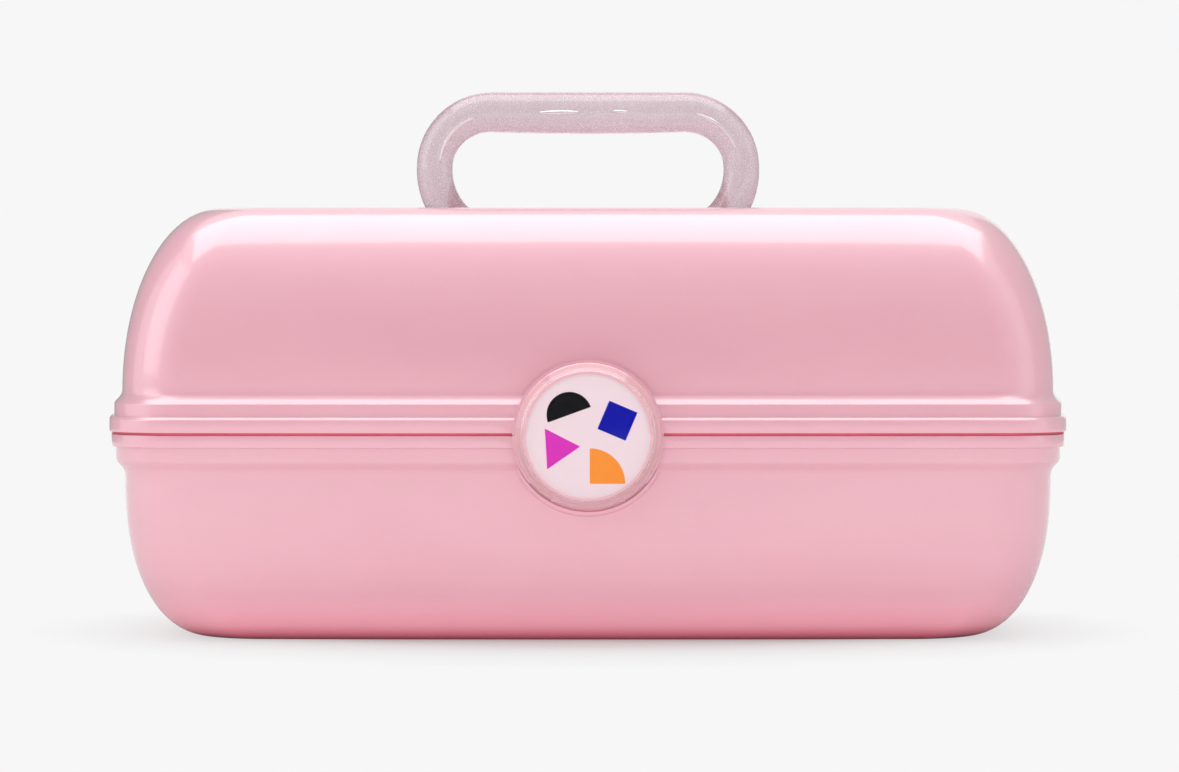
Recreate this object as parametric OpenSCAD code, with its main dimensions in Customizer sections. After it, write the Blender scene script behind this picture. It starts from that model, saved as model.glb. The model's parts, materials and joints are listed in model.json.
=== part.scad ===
// Hinged vanity case with a fold-flat carrying handle, a round front latch,
// a flip mirror in the lid and one tray that the lid lifts as it opens.
// Millimetres, +Z up, the front faces -Y, the origin is on the table under the middle of the case.

/* [Case] */
// Width over the rim
case_w = 333; // [300:1:370]
// Depth over the rim
case_d = 168; // [164:1:184]
// Height of the closed case without its handle
case_h = 147.5; // [146:0.5:156]
// Height of the parting line between base and lid
part_h = 71; // [70:0.5:73]
// Plan radius of the rim at the corners
corner_r = 20; // [16:0.5:24]
// How far the ends bulge beyond their corners
end_bulge = 7; // [3:0.5:8]
// How far the front and the back bulge beyond their corners
front_bulge = 2.5; // [0:0.5:4]
// Wall of both shells
wall = 2.2; // [1.8:0.1:2.6]

/* [Handle] */
// Width of the handle over its bends
handle_w = 120.4; // [110:0.2:124]
// Radius of the upper bends, at the middle of their section
bend_r = 20.2; // [18:0.2:22]
// Radius of the legs, which lean inwards below the upper bends
leg_bend_r = 24; // [22:0.5:28]
// Radius of the legs' section
handle_r = 6.3; // [5.5:0.1:6.8]
// Radius of the grip at its middle
grip_r = 7.3; // [6.5:0.1:7.5]
// How far the pivot axis lies below the lid's top
pivot_sink = 5.8; // [5.5:0.1:7]
// Where the pivot axis lies, front to back
pivot_y = -6; // [-8:0.5:-4]

/* [Latch] */
// Diameter of the clear latch cover
latch_d = 49.2; // [44:0.2:52]
// Diameter of the printed disc under it
disc_d = 43; // [38:0.2:44]
// Height of the latch's pivot above the table
latch_pivot_h = 51; // [50:0.5:52]

/* [Tray] */
// From the rim's outline in to each end of the tray
tray_side_gap = 21.5; // [21.5:0.5:36]
// From the rim's outline in to the tray's front
tray_front_gap = 14; // [14:0.5:24]
// From the rim's outline in to the tray's rear
tray_rear_gap = 22; // [20:0.5:34]
// Height of the tray's walls
tray_h = 32; // [26:0.5:34]
// Wall of the tray
tray_wall = 1.8; // [1.4:0.1:2.2]
// Number of removable dividers
dividers = 5; // [3:1:7]

/* [Mirror] */
// Length of the mirror's frame
mirror_l = 180; // [150:1:184]
// Depth of the mirror's frame
mirror_d = 85.5; // [70:0.5:86]
// Thickness of the mirror's frame
mirror_t = 4.6; // [4:0.1:5]

/* [Hinges] */
// Distance of each hinge from the middle
hinge_x = 85; // [70:1:110]
// Length of each hinge
hinge_l = 40; // [30:1:50]
// Radius of the hinge barrels
barrel_r = 4; // [3.5:0.1:4.2]
// Radius of the hinge pins
hinge_pin_r = 1.5; // [1.2:0.1:2]

/* [Hidden] */
$fn = 64;

// Clearances
gap = 0.3;                 // between faces of parts that move past each other
run = 0.05;                // between a pin and its bore, on the radius
tiny = 0.01;
skin = 0.3 * wall;         // outer part of a wall that whatever joins it from inside stays clear of

// Colours
pink = [0.93, 0.69, 0.75];
clear = [0.93, 0.82, 0.86, 0.6];
steel = [0.75, 0.75, 0.77];
white = [0.95, 0.91, 0.93];

// Plan of the case
corner_taper = 1 / 6;      // how much of each inset the corners' radius gives up
corner_steps = 6;          // facets round a corner
side_steps = 6;            // facets along a side

// Lid section
lid_rim_h = 5.9;           // the outermost band above the parting line
lid_band_in = 1.6;         // how far the second band stands back
lid_band_h = 10.6;         // top of the second band above the parting line
lid_wall_in = 4.2;         // how far the wall stands back from the rim
lid_wall_h = 14.3;         // where the wall starts to curve in
lid_round = 32;            // how far the wall curves in on its way to the top
lid_steps = 14;            // facets along that curve
rim_t = 2.8;               // thickness of the lid's rim
rim_step = 0.6;            // how far below the rim's top its thin part ends inside
edge = 0.4;                // softened edges of both rims

// Base section
base_rim_in = 0.7;         // the base's rim stands back from the lid's
base_rim_h = 4.4;
base_band_in = 2.0;
base_band_h = 9.2;
base_band_fall = 3;        // height over which the band runs out into the wall
base_wall_in = 5;
base_wall_h = 15;
base_round = 30.6;         // how far the wall curves in on its way to the bottom
base_power = 2.3;          // superellipse exponent of that curve
base_steps = 14;
lip_in = 3.3;              // the tongue that centres the lid
lip_t = 1.3;
lip_h = 2;
foot_in = 8;               // width of the band that the case stands on
foot_h = 0.8;              // recess inside that band

inner_steps = 9;           // facets along the inside of either curve
lid_top_h = case_h - part_h;

// Hinge axis, behind the rims at the parting line
hinge_out = barrel_r + 0.4;
hinge_y = case_d / 2 + hinge_out;
knuckle_gap = 0.4;
lid_knuckle_l = hinge_l * 0.4;

// Handle: each end has an upper bend, a leg that leans in, and a foot that turns it into the journal
bend_x = handle_w / 2 - handle_r - bend_r;     // where the grip ends and the bends begin
lean = 42;                 // how far the legs have turned when the feet begin
foot_bend_r = 12;
leg_drop = leg_bend_r * sin(lean) + foot_bend_r * (1 - sin(lean));
handle_rise = bend_r + leg_drop;
pivot_z = case_h - pivot_sink;
foot_x = handle_w / 2 - handle_r - leg_bend_r * (1 - cos(lean)) - foot_bend_r * cos(lean);
journal_r = 3.5;
journal_l = 11;
boss_x = floor(10 * foot_x) / 10 - 1;          // half length of the boss that carries the journals
stub_end = boss_x + gap;

// Pocket that the handle folds into
pocket_gap = 1.3;
pocket_x = handle_w / 2 + pocket_gap;
pocket_front = pivot_y - handle_r - 2;
pocket_rear = pivot_y + handle_rise + grip_r + pocket_gap;
pocket_floor = pivot_z - grip_r - 0.8;
pocket_rear_r = 26;
pocket_front_r = 7;

// Latch, closed against the rims
latch_back = -(case_d / 2 + 0.9);
latch_front = -(hinge_y + barrel_r);           // the case is as deep in front of its middle as behind it
latch_pivot_y = latch_back + 2.7;
latch_ear_r = 2.3;
latch_knuckle_r = 2.6;
latch_knuckle_l = 14;
latch_ear_l = 5;
latch_pin_r = 1.1;
latch_pin_l = latch_knuckle_l + 2 * latch_ear_l;
latch_flange_in = 0.8;     // the flange stands back from the cover's edge
latch_flange_t = 2.3;      // the cover's skirt seats on the flange
latch_seat = 4.4;          // from the latch's back to the disc
latch_hollow = [18.6, 3];  // radius and depth of the latch's hollow back
disc_t = 0.6;
cover_dome = 1.4;
cover_edge = 1.6;          // rounding of the cover's edge
pad_r = latch_d / 2 + 0.8; // the round seat behind the latch
pad_face = latch_back + 0.5;
pad_low = latch_pivot_h + latch_knuckle_r + 1.4;
ring_r = pad_r + 0.6;      // the low ring that carries the seat's outline on down the base
ring_w = 1.4;
ring_face = 1.6;
ring_slope = 0.4;
hook_w = 12;               // the latch's hook
hook_h = 1.6;
hook_z = part_h + 17.3;
groove_depth = 1.2;        // depth of the groove in the lid that the hook snaps over

// Linkage: the lid and the two arms turn by the same angle, so the tray stays level
tray_l = case_w - 2 * tray_side_gap;
drive_y = 62;              // from the hinge axis forward to the tray's rear rivets
drive_z = 8;               // and up
link_y = 44;               // from the rear rivets forward to the front ones
link_z = 19;               // and down
rear_rivet = [hinge_y - drive_y, part_h + drive_z];
front_rivet = [rear_rivet[0] - link_y, rear_rivet[1] - link_z];
arm_pivot = [hinge_y - link_y, part_h - link_z];
rivet_r = 2;
rivet_head_r = 3.6;
rivet_head_t = 1.2;
rivet_grip = 6.5;          // how far the arms' rivets reach into their bosses
arm_half = 4.6;            // half width of an arm
arm_t = 2.2;
arm_x = tray_l / 2 + 2;    // inner face of the arms and of the lid's ears
arm_back = arm_x + arm_t + gap;
ear_top = rear_rivet[1] + 14;
ear_foot = 7;              // height of the block that joins an ear to the end wall

// Tray
tray_z = part_h - 17;
tray_front = tray_front_gap - case_d / 2;
tray_rear = case_d / 2 - tray_rear_gap;
tray_floor = 1.8;
tray_corner_r = 16;
rib_y = front_rivet[0] + rivet_head_r + tray_wall / 2 + 2 * gap;   // wall between the tray's two rows
cross_x = 70;              // the cross walls of the rear row
inner_drop = 4;            // the walls inside the tray are this much lower than its rim
divider_t = 1.5;
divider_fit = 0.2;         // play all round a divider
divider_notch = 9;         // finger notch in a divider's top
slot_rib = [1.4, 1.6];     // width and reach of the ribs that hold a divider

// Mirror, folded up against the handle's pocket
mirror_pivot_y = 28;
mirror_rear = mirror_pivot_y + mirror_t / 3;
mirror_front = mirror_rear - mirror_d;
mirror_pin_r = 2;
mirror_pin_l = 4.6;
mirror_pin_root = 6;       // length of the thicker root that joins a pin to the frame
mirror_top = pocket_floor - wall - 0.6;
mirror_pivot_z = mirror_top - mirror_t / 2;
mirror_rim = 4;
mirror_corner_r = 12;
mirror_hinge_r = 6;        // corners beside the pivots
glass_t = 2;
glass_sunk = 0.4;          // the glass lies this far inside the frame's face
mirror_ear_t = 3;
mirror_ear_half = 4.5;
stop_x = mirror_l / 2 - 20;
stop_size = [2, 10];       // rib under the lid's top that the folded mirror stops against

// ---------------------------------------------------------------- helpers

// One ring of the case: its plan, drawn in from the rim by inset, with corners of radius r, at height z.
function plan_ring(inset, z, r) =
    let (a = case_w / 2 - inset - end_bulge,
         b = case_d / 2 - inset - front_bulge,
         cx = a - r,
         cy = b - r,
         corner = [for (i = [0 : corner_steps])
             let (t = 90 * i / corner_steps) [cx + r * cos(t), cy + r * sin(t)]],
         front = [for (i = [1 : side_steps - 1]) [cx * (1 - 2 * i / side_steps), b]],
         side = [for (i = [1 : side_steps - 1]) [a, cy * (2 * i / side_steps - 1)]],
         outline = concat(side, corner, front,
                          [for (p = reversed(corner)) [-p[0], p[1]]], [for (p = side) [-p[0], -p[1]]],
                          [for (p = corner) [-p[0], -p[1]]], [for (p = front) [-p[0], -p[1]]],
                          [for (p = reversed(corner)) [p[0], -p[1]]]))
    [for (p = outline) [
        p[0] * (1 + end_bulge / a * (1 - pow(p[1] / b, 2))),
        p[1] * (1 + front_bulge / b * (1 - pow(p[0] / a, 2))),
        z
    ]];

// Skins a stack of such rings, each given as [inset, height, radius], and closes both ends.
module lofted(stack) {
    rings = [for (s = stack) plan_ring(s[0], s[1], s[2])];
    n = len(rings[0]);
    last = len(rings) - 1;
    polyhedron(
        points = [for (ring = rings) each ring],
        faces = concat(
            [[for (i = [n - 1 : -1 : 0]) i], [for (i = [0 : n - 1]) last * n + i]],
            [for (k = [0 : last - 1], i = [0 : n - 1])
                let (j = (i + 1) % n)
                each [
                    [k * n + i, (k + 1) * n + j, (k + 1) * n + i],
                    [k * n + i, k * n + j, (k + 1) * n + j]
                ]]
        )
    );
}

function corner_at(inset) = corner_r - corner_taper * inset;

// Where the outside of an end wall stands, at a given distance from the middle.
function end_at(y, inset) =
    case_w / 2 - inset - end_bulge * pow(y / (case_d / 2 - inset - front_bulge), 2);

// A rectangle from x -half to half and y front to rear, with its own radius at each end.
module rounded_plan(half, front, rear, front_r, rear_r) {
    for (s = [-1, 1]) {
        translate([s * (half - front_r), front + front_r]) circle(front_r);
        translate([s * (half - rear_r), rear - rear_r]) circle(rear_r);
    }
    translate([-half, front + front_r]) square([2 * half, rear - rear_r - front - front_r]);
    translate([front_r - half, front]) square([2 * (half - front_r), front_r]);
    translate([rear_r - half, rear - rear_r]) square([2 * (half - rear_r), rear_r]);
}

// A round bar along X: rod is centred on the origin, peg runs from it towards +X.
module rod(r, length) {
    rotate([0, 90, 0]) cylinder(r = r, h = length, center = true);
}

module peg(r, length) {
    rotate([0, 90, 0]) cylinder(r = r, h = length);
}

// Draws its child on the right (+X), or its mirror image on the left.
module on_side(side) {
    if (side > 0) children();
    else mirror([1, 0, 0]) children();
}

// A slab across X, from an outline drawn as y and z.
module slab(x, thickness) {
    translate([x, 0, 0]) rotate([90, 0, 90]) linear_extrude(thickness) children();
}

// ---------------------------------------------------------------- shells

function reversed(list) = [for (i = [len(list) - 1 : -1 : 0]) list[i]];

// Rings of the lid's curve from its wall to its top, t inside the outer surface.
function lid_curve(t, steps) = [
    for (i = [0 : steps])
        let (a = 90 * i / steps, inset = lid_wall_in + lid_round - (lid_round - t) * cos(a))
        [inset, part_h + lid_wall_h + (lid_top_h - lid_wall_h - t) * sin(a), corner_at(inset - t) - t]
];

function base_curve(t, steps) = [
    for (i = [0 : steps])
        let (a = 90 * i / steps,
             inset = base_wall_in + base_round - (base_round - t) * pow(cos(a), 2 / base_power))
        [inset, part_h - base_wall_h - (part_h - base_wall_h - t) * pow(sin(a), 2 / base_power),
         corner_at(inset - t) - t]
];

// Rings of a rim or band, given as [inset, height above the parting line].
function bands(list) = [for (p = list) [p[0], part_h + p[1], corner_at(p[0])]];

module lid_loft() {
    low = gap / 2;
    lofted(concat(
        reversed(lid_curve(0, lid_steps)),
        bands([
            [lid_wall_in - edge / 2, lid_wall_h - 1], [lid_band_in + edge, lid_band_h],
            [lid_band_in, lid_band_h - edge], [lid_band_in, lid_rim_h],
            [edge, lid_rim_h], [0, lid_rim_h - edge],
            [0, low + edge], [edge, low], [rim_t, low], [rim_t, lid_rim_h - rim_step]
        ]),
        lid_curve(wall, inner_steps)
    ));
}

module base_loft() {
    top = -gap / 2;
    mirror([0, 0, 1]) lofted([for (p = concat(
        reversed(base_curve(0, base_steps)),
        bands([
            [base_wall_in - edge, -base_band_h - base_band_fall], [base_band_in + edge, -base_band_h],
            [base_band_in, -base_rim_h - edge / 2], [base_rim_in + edge, -base_rim_h],
            [base_rim_in, edge - base_rim_h], [base_rim_in, top - edge], [base_rim_in + edge, top],
            [lip_in, top], [lip_in, lip_h], [lip_in + lip_t, lip_h],
            [lip_in + lip_t, -base_rim_h - base_band_fall]
        ]),
        base_curve(wall, inner_steps)
    )) [p[0], -p[1], p[2]]]);
}

// Half of a barrel's length on each side of the lid's knuckle belongs to the base.
module base_knuckles(x) {
    length = (hinge_l - lid_knuckle_l) / 2 - knuckle_gap;
    root = case_d / 2 - lip_in - lip_t / 2;
    for (s = [-1, 1]) translate([x + s * (hinge_l - length) / 2, 0, 0]) {
        translate([0, hinge_y, part_h]) rod(barrel_r, length);
        slab(-length / 2, length) polygon([
            [hinge_y, part_h - gap / 2], [hinge_y, part_h - barrel_r],
            [case_d / 2 - base_band_in, part_h - base_band_h],
            [root, part_h - base_band_h], [root, part_h - gap / 2]
        ]);
    }
}

module lid_knuckle(x) {
    root = case_d / 2 - rim_t + edge;
    top = part_h + lid_band_h - 1;
    translate([x, 0, 0]) {
        translate([0, hinge_y, part_h]) rod(barrel_r, lid_knuckle_l);
        slab(-lid_knuckle_l / 2, lid_knuckle_l) polygon([
            [hinge_y, part_h + gap / 2], [hinge_y, part_h + barrel_r],
            [case_d / 2 - lid_band_in, top], [root, top], [root, part_h + gap / 2]
        ]);
    }
}

// Ear that carries an end of the latch pin.
module latch_ear(side) {
    inner = latch_knuckle_l / 2 + knuckle_gap;
    translate([side * (inner + latch_ear_l / 2), 0, 0]) {
        translate([0, latch_pivot_y, latch_pivot_h]) rod(latch_ear_r, latch_ear_l);
        translate([-latch_ear_l / 2, latch_pivot_y, latch_pivot_h - latch_ear_r])
            cube([latch_ear_l, -(latch_pivot_y + case_d / 2 - base_wall_in - wall / 2), 2 * latch_ear_r]);
    }
}

// Round seat behind the latch, above z = low and below z = high.
module latch_pad(low, high, back) {
    intersection() {
        translate([0, back, part_h]) rotate([90, 0, 0]) cylinder(r = pad_r, h = back - pad_face);
        translate([-pad_r, pad_face, low]) cube([2 * pad_r, back - pad_face, high - low]);
    }
}

// Pedestal on the end wall that an arm turns on.
module arm_boss(side) {
    wall_x = end_at(arm_pivot[0] + arm_half, base_wall_in) - skin;
    on_side(side) translate([arm_back, arm_pivot[0], arm_pivot[1]]) peg(arm_half, wall_x - arm_back);
}

// Low ring that carries the seat's outline on round the lower half of the latch.
module latch_ring() {
    wall_y = -case_d / 2 + base_wall_in;
    intersection() {
        translate([0, wall_y + wall / 2, part_h]) rotate([90, 0, 0]) rotate_extrude() polygon([
            [ring_r, 0], [ring_r, wall / 2 + ring_face],
            [ring_r + ring_w, wall / 2 + ring_face - ring_slope],
            [ring_r + ring_w + 2 * ring_slope, 0]
        ]);
        translate([-2 * pad_r, wall_y - ring_face, part_h - 2 * pad_r])
            cube([4 * pad_r, ring_face + wall, 2 * pad_r - base_band_h]);
    }
}

module base_shell() {
    color(pink) difference() {
        union() {
            base_loft();
            latch_pad(pad_low, part_h - gap / 2, -case_d / 2 + base_wall_in + wall / 2);
            latch_ring();
            for (s = [-1, 1]) {
                base_knuckles(s * hinge_x);
                latch_ear(s);
                arm_boss(s);
            }
        }
        for (s = [-1, 1]) {
            translate([s * hinge_x, hinge_y, part_h]) rod(hinge_pin_r + run, hinge_l + 2);
            on_side(s) translate([arm_x, arm_pivot[0], arm_pivot[1]])
                peg(rivet_r + run, arm_t + rivet_grip + 3 * gap);
        }
        translate([0, latch_pivot_y, latch_pivot_h]) rod(latch_pin_r + run, latch_pin_l + 4);
        translate([0, 0, -1]) linear_extrude(1 + foot_h) {
            inset = base_wall_in + base_round + foot_in;
            rounded_plan(case_w / 2 - end_bulge - inset, inset - case_d / 2 + front_bulge,
                         case_d / 2 - front_bulge - inset, 6, 6);
        }
    }
}

// Ear inside the lid's end wall: the tray hangs on its rivet.
module tray_ear(side) {
    wall_x = end_at(rear_rivet[0] + arm_half, lid_wall_in) - skin;
    on_side(side) {
        translate([0, rear_rivet[0], 0]) {
            translate([arm_x, 0, rear_rivet[1]]) peg(arm_half, arm_t);
            translate([arm_x, -arm_half, rear_rivet[1]])
                cube([arm_t, 2 * arm_half, ear_top - rear_rivet[1]]);
            translate([arm_x, -arm_half, ear_top - ear_foot])
                cube([wall_x - arm_x, 2 * arm_half, ear_foot]);
        }
    }
}

// Ear that hangs from the lid's top and holds an end of the mirror's frame.
module mirror_ear(side) {
    x = mirror_l / 2 + gap;
    on_side(side) {
        translate([x, mirror_pivot_y, mirror_pivot_z]) peg(mirror_ear_half, mirror_ear_t);
        translate([x, mirror_pivot_y - mirror_ear_half, mirror_pivot_z])
            cube([mirror_ear_t, 2 * mirror_ear_half, case_h - wall / 2 - mirror_pivot_z]);
    }
}

module pocket_plan(grow) {
    rounded_plan(pocket_x + grow, pocket_front - grow, pocket_rear + grow,
                 pocket_front_r + grow, pocket_rear_r + grow);
}

// Boss in the pocket between the handle's two journals.
module handle_boss() {
    translate([0, pivot_y, pivot_z]) rod(handle_r, 2 * boss_x);
    translate([-boss_x, pocket_front - wall / 2, pocket_floor - wall / 2])
        cube([2 * boss_x, pivot_y + handle_r - pocket_front + wall / 2, pivot_z - pocket_floor + wall / 2]);
    translate([-boss_x, pocket_front - wall / 2, pivot_z - tiny])
        cube([2 * boss_x, pivot_y - pocket_front + wall / 2, handle_r - 1.5]);
}

module lid_shell() {
    color(pink) difference() {
        union() {
            difference() {
                union() {
                    lid_loft();
                    latch_pad(part_h + gap / 2, part_h + lid_rim_h, -case_d / 2 + rim_t - gap);
                    latch_pad(part_h + lid_rim_h - rim_step, part_h + pad_r,
                              -case_d / 2 + lid_wall_in + wall / 2);
                    translate([0, 0, pocket_floor - wall])
                        linear_extrude(case_h - pocket_floor + wall / 2) pocket_plan(wall);
                }
                translate([0, 0, pocket_floor]) linear_extrude(case_h) pocket_plan(0);
            }
            handle_boss();
            for (s = [-1, 1]) {
                lid_knuckle(s * hinge_x);
                tray_ear(s);
                mirror_ear(s);
                translate([s * stop_x - stop_size[0] / 2, mirror_front + mirror_rim, mirror_top + gap])
                    cube([stop_size[0], stop_size[1], case_h - wall / 2 - mirror_top - gap]);
            }
        }
        translate([-hook_w / 2 - 1, pad_face - 1, hook_z - gap])
            cube([hook_w + 2, groove_depth + 1, hook_h + 2 * gap]);
        for (s = [-1, 1]) {
            translate([s * hinge_x, hinge_y, part_h]) rod(hinge_pin_r + run, hinge_l + 2);
            on_side(s) {
                translate([arm_x - 1, rear_rivet[0], rear_rivet[1]]) peg(rivet_r + run, arm_t + 2);
                translate([mirror_l / 2, mirror_pivot_y, mirror_pivot_z])
                    peg(mirror_pin_r + run, mirror_ear_t + 2);
                translate([stub_end - journal_l - 1, pivot_y, pivot_z]) peg(journal_r + run, journal_l + 1);
            }
        }
    }
}

// ---------------------------------------------------------------- hinges, latch

module hinge_pin(side) {
    color(steel) translate([side * hinge_x, hinge_y, part_h]) rod(hinge_pin_r, hinge_l);
}

// Turns a profile, drawn as radius and distance from the latch's back, about the axis of the round latch.
module latch_turned() {
    translate([0, latch_back, part_h]) rotate([90, 0, 0]) rotate_extrude() children();
}

module latch_body() {
    seat = disc_d / 2;
    flange = latch_d / 2 - latch_flange_in;
    bevel = 0.6;
    sunk = 0.2;            // how far the hook and the knuckle run into the body
    color(pink) difference() {
        union() {
            latch_turned() polygon([
                [0, latch_seat], [0, latch_hollow[1]],
                [latch_hollow[0], latch_hollow[1]], [latch_hollow[0], 0],
                [flange - bevel, 0], [flange, bevel], [flange, latch_flange_t],
                [seat, latch_flange_t], [seat, latch_seat]
            ]);
            translate([-hook_w / 2, latch_back - latch_hollow[1] - sunk, hook_z])
                cube([hook_w, pad_face - gap - latch_back + latch_hollow[1] + sunk, hook_h]);
            translate([0, latch_pivot_y, latch_pivot_h]) rod(latch_knuckle_r, latch_knuckle_l);
            translate([-latch_knuckle_l / 2, latch_back - sunk, latch_pivot_h - latch_knuckle_r])
                cube([latch_knuckle_l, latch_pivot_y - latch_back + sunk, 2 * latch_knuckle_r]);
        }
        translate([0, latch_pivot_y, latch_pivot_h]) rod(latch_pin_r + run, latch_knuckle_l + 2);
    }
}

module latch_disc() {
    color(white) latch_turned()
        translate([0, latch_seat]) square([disc_d / 2, disc_t]);
}

module latch_cover() {
    front = latch_back - latch_front;
    inside = latch_seat + disc_t;
    bore = disc_d / 2 + 0.1;
    rim = cover_edge;
    color(clear) latch_turned() polygon(concat(
        [[0, inside], [bore, inside], [bore, latch_flange_t], [latch_d / 2, latch_flange_t]],
        [for (a = [0 : 15 : 90])
            [latch_d / 2 - rim * (1 - cos(a)), front - cover_dome - rim * (1 - sin(a))]],
        [for (i = [1 : 5])
            let (s = 1 - i / 5) [(latch_d / 2 - rim) * s, front - cover_dome * pow(s, 2)]]
    ));
}

module latch_pin() {
    color(steel) translate([0, latch_pivot_y, latch_pivot_h]) rod(latch_pin_r, latch_pin_l);
}

// ---------------------------------------------------------------- handle

function grip_radius(x) = handle_r + (grip_r - handle_r) * (1 - pow(abs(x) / bend_x, 4));

// A bend in the XZ plane about the given centre, from one angle to another (0 is +X, 90 is +Z).
module bend(centre, r, from, to, section) {
    translate([centre[0], 0, centre[1]]) rotate([90, 0, 0]) rotate(from)
        rotate_extrude(angle = to - from) translate([r, 0]) circle(section);
}

module handle() {
    leg_x = handle_w / 2 - handle_r;
    lap = 0.7;             // a leg runs this many degrees into the bends that it joins
    slim = handle_r - 2 * tiny;
    color(clear) translate([0, pivot_y, pivot_z]) {
        translate([0, 0, handle_rise]) rotate([0, 90, 0]) rotate_extrude() polygon(concat(
            [[0, -bend_x]],
            [for (i = [-8 : 8]) [grip_radius(bend_x * i / 8), bend_x * i / 8]],
            [[0, bend_x]]
        ));
        for (s = [-1, 1]) on_side(s) {
            bend([bend_x, leg_drop], bend_r, 0, 90, handle_r);
            bend([leg_x - leg_bend_r, leg_drop], leg_bend_r, -lean - lap, lap, slim);
            bend([foot_x, foot_bend_r], foot_bend_r, -90, -lean, handle_r);
            translate([stub_end, 0, 0]) peg(slim, foot_x + gap - stub_end);
            translate([stub_end - journal_l, 0, 0]) peg(journal_r, journal_l + 1);
        }
    }
}

// ---------------------------------------------------------------- mirror

module mirror_plan(inset) {
    rounded_plan(mirror_l / 2 - inset, mirror_front + inset, mirror_rear - inset,
                 mirror_corner_r - inset, mirror_hinge_r - inset);
}

module mirror_frame() {
    bottom = mirror_top - mirror_t;
    color(pink) {
        difference() {
            translate([0, 0, bottom]) linear_extrude(mirror_t) mirror_plan(0);
            translate([0, 0, bottom - 1]) linear_extrude(glass_t + glass_sunk + 1) mirror_plan(mirror_rim);
        }
        for (s = [-1, 1])
            translate([s * (mirror_l / 2 + mirror_pin_l / 2 - 1), mirror_pivot_y, mirror_pivot_z])
                rod(mirror_pin_r, mirror_pin_l);
        for (s = [-1, 1])
            translate([s * (mirror_l - mirror_pin_root) / 2, mirror_pivot_y, mirror_pivot_z])
                rod(mirror_t / 2, mirror_pin_root);
    }
}

module mirror_glass() {
    color([0.85, 0.88, 0.9]) translate([0, 0, mirror_top - mirror_t + glass_sunk])
        linear_extrude(glass_t) mirror_plan(mirror_rim + divider_fit);
}

// ---------------------------------------------------------------- tray

function divider_x(i) = -tray_l / 2 + tray_l * i / (dividers + 1);

module tray_plan(inset) {
    rounded_plan(tray_l / 2 - inset, tray_front + inset, tray_rear - inset,
                 tray_corner_r - inset, tray_corner_r - inset);
}

module tray() {
    inner_front = tray_front + tray_wall;
    color(pink) translate([0, 0, tray_z]) difference() {
        union() {
            difference() {
                linear_extrude(tray_h) tray_plan(0);
                translate([0, 0, tray_floor]) linear_extrude(tray_h) tray_plan(tray_wall);
            }
            translate([-tray_l / 2 + tray_wall / 2, rib_y - tray_wall / 2, tray_floor / 2])
                cube([tray_l - tray_wall, tray_wall, tray_h - inner_drop]);
            for (s = [-1, 1])
                translate([s * cross_x - tray_wall / 2, rib_y, tray_floor / 2])
                    cube([tray_wall, tray_rear - tray_wall / 2 - rib_y, tray_h - inner_drop]);
            for (i = [1 : dividers], s = [-1, 1]) {
                x = divider_x(i) + s * (divider_t / 2 + divider_fit + slot_rib[0] / 2) - slot_rib[0] / 2;
                translate([x, inner_front - tray_wall / 2, tray_floor / 2])
                    cube([slot_rib[0], slot_rib[1] + tray_wall / 2, tray_h - 1.5 * inner_drop]);
                translate([x, rib_y - tray_wall / 2 - slot_rib[1], tray_floor / 2])
                    cube([slot_rib[0], slot_rib[1] + tray_wall / 2, tray_h - 1.5 * inner_drop]);
            }
        }
        for (hole = [rear_rivet, front_rivet])
            translate([0, hole[0], hole[1] - tray_z]) rod(rivet_r + run, tray_l + 2);
    }
}

module divider(i) {
    depth = rib_y - tray_front - 1.5 * tray_wall - 2 * divider_fit;
    height = tray_h - tray_floor - inner_drop;
    color(clear) translate([divider_x(i), tray_front + tray_wall + divider_fit, tray_z + tray_floor])
        slab(-divider_t / 2, divider_t) difference() {
            square([depth, height]);
            translate([depth / 2, height + divider_notch / 3]) circle(divider_notch);
        }
}

// ---------------------------------------------------------------- linkage

module arm(side) {
    length = norm([drive_y, drive_z]);
    color(pink) on_side(side)
        translate([arm_x, arm_pivot[0], arm_pivot[1]])
            rotate([90, 0, 90]) rotate(180 - atan2(drive_z, drive_y)) difference() {
                union() {
                    cylinder(r = arm_half, h = arm_t);
                    translate([length, 0, 0]) cylinder(r = arm_half, h = arm_t);
                    translate([0, -arm_half, 0]) cube([length, 2 * arm_half, arm_t]);
                }
                for (x = [0, length])
                    translate([x, 0, -1]) cylinder(r = rivet_r + run, h = arm_t + 2);
            }
}

// Rivet along X: its shaft runs from x0 to x1, with a head outside each end that has one.
module rivet(side, at, x0, x1, heads) {
    color(steel) on_side(side) translate([0, at[0], at[1]]) {
        translate([x0, 0, 0]) peg(rivet_r, x1 - x0);
        if (heads[0]) translate([x0 - rivet_head_t, 0, 0]) peg(rivet_head_r, rivet_head_t);
        if (heads[1]) translate([x1, 0, 0]) peg(rivet_head_r, rivet_head_t);
    }
}

module arm_rivet(side) {
    rivet(side, arm_pivot, arm_x - run, arm_back + rivet_grip, [true, false]);
}

module tray_rivet(side, at) {
    rivet(side, at, tray_l / 2 - tray_wall - run, arm_back, [true, true]);
}

// ---------------------------------------------------------------- the case

base_shell();
lid_shell();
hinge_pin(-1);  // hinge_pin_left
hinge_pin(1);  // hinge_pin_right
latch_body();
latch_disc();
latch_cover();
latch_pin();
handle();
mirror_frame();
mirror_glass();
tray();
for (i = [1 : dividers])
    divider(i);
arm(-1);  // arm_left
arm(1);  // arm_right
arm_rivet(-1);  // arm_rivet_left
arm_rivet(1);  // arm_rivet_right
tray_rivet(-1, rear_rivet);  // tray_rear_rivet_left
tray_rivet(1, rear_rivet);  // tray_rear_rivet_right
tray_rivet(-1, front_rivet);  // tray_front_rivet_left
tray_rivet(1, front_rivet);  // tray_front_rivet_right
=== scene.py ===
"""Dresses the vanity case: pearl pink shells, glitter handle, round latch, lid mirror and lifting tray."""

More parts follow.
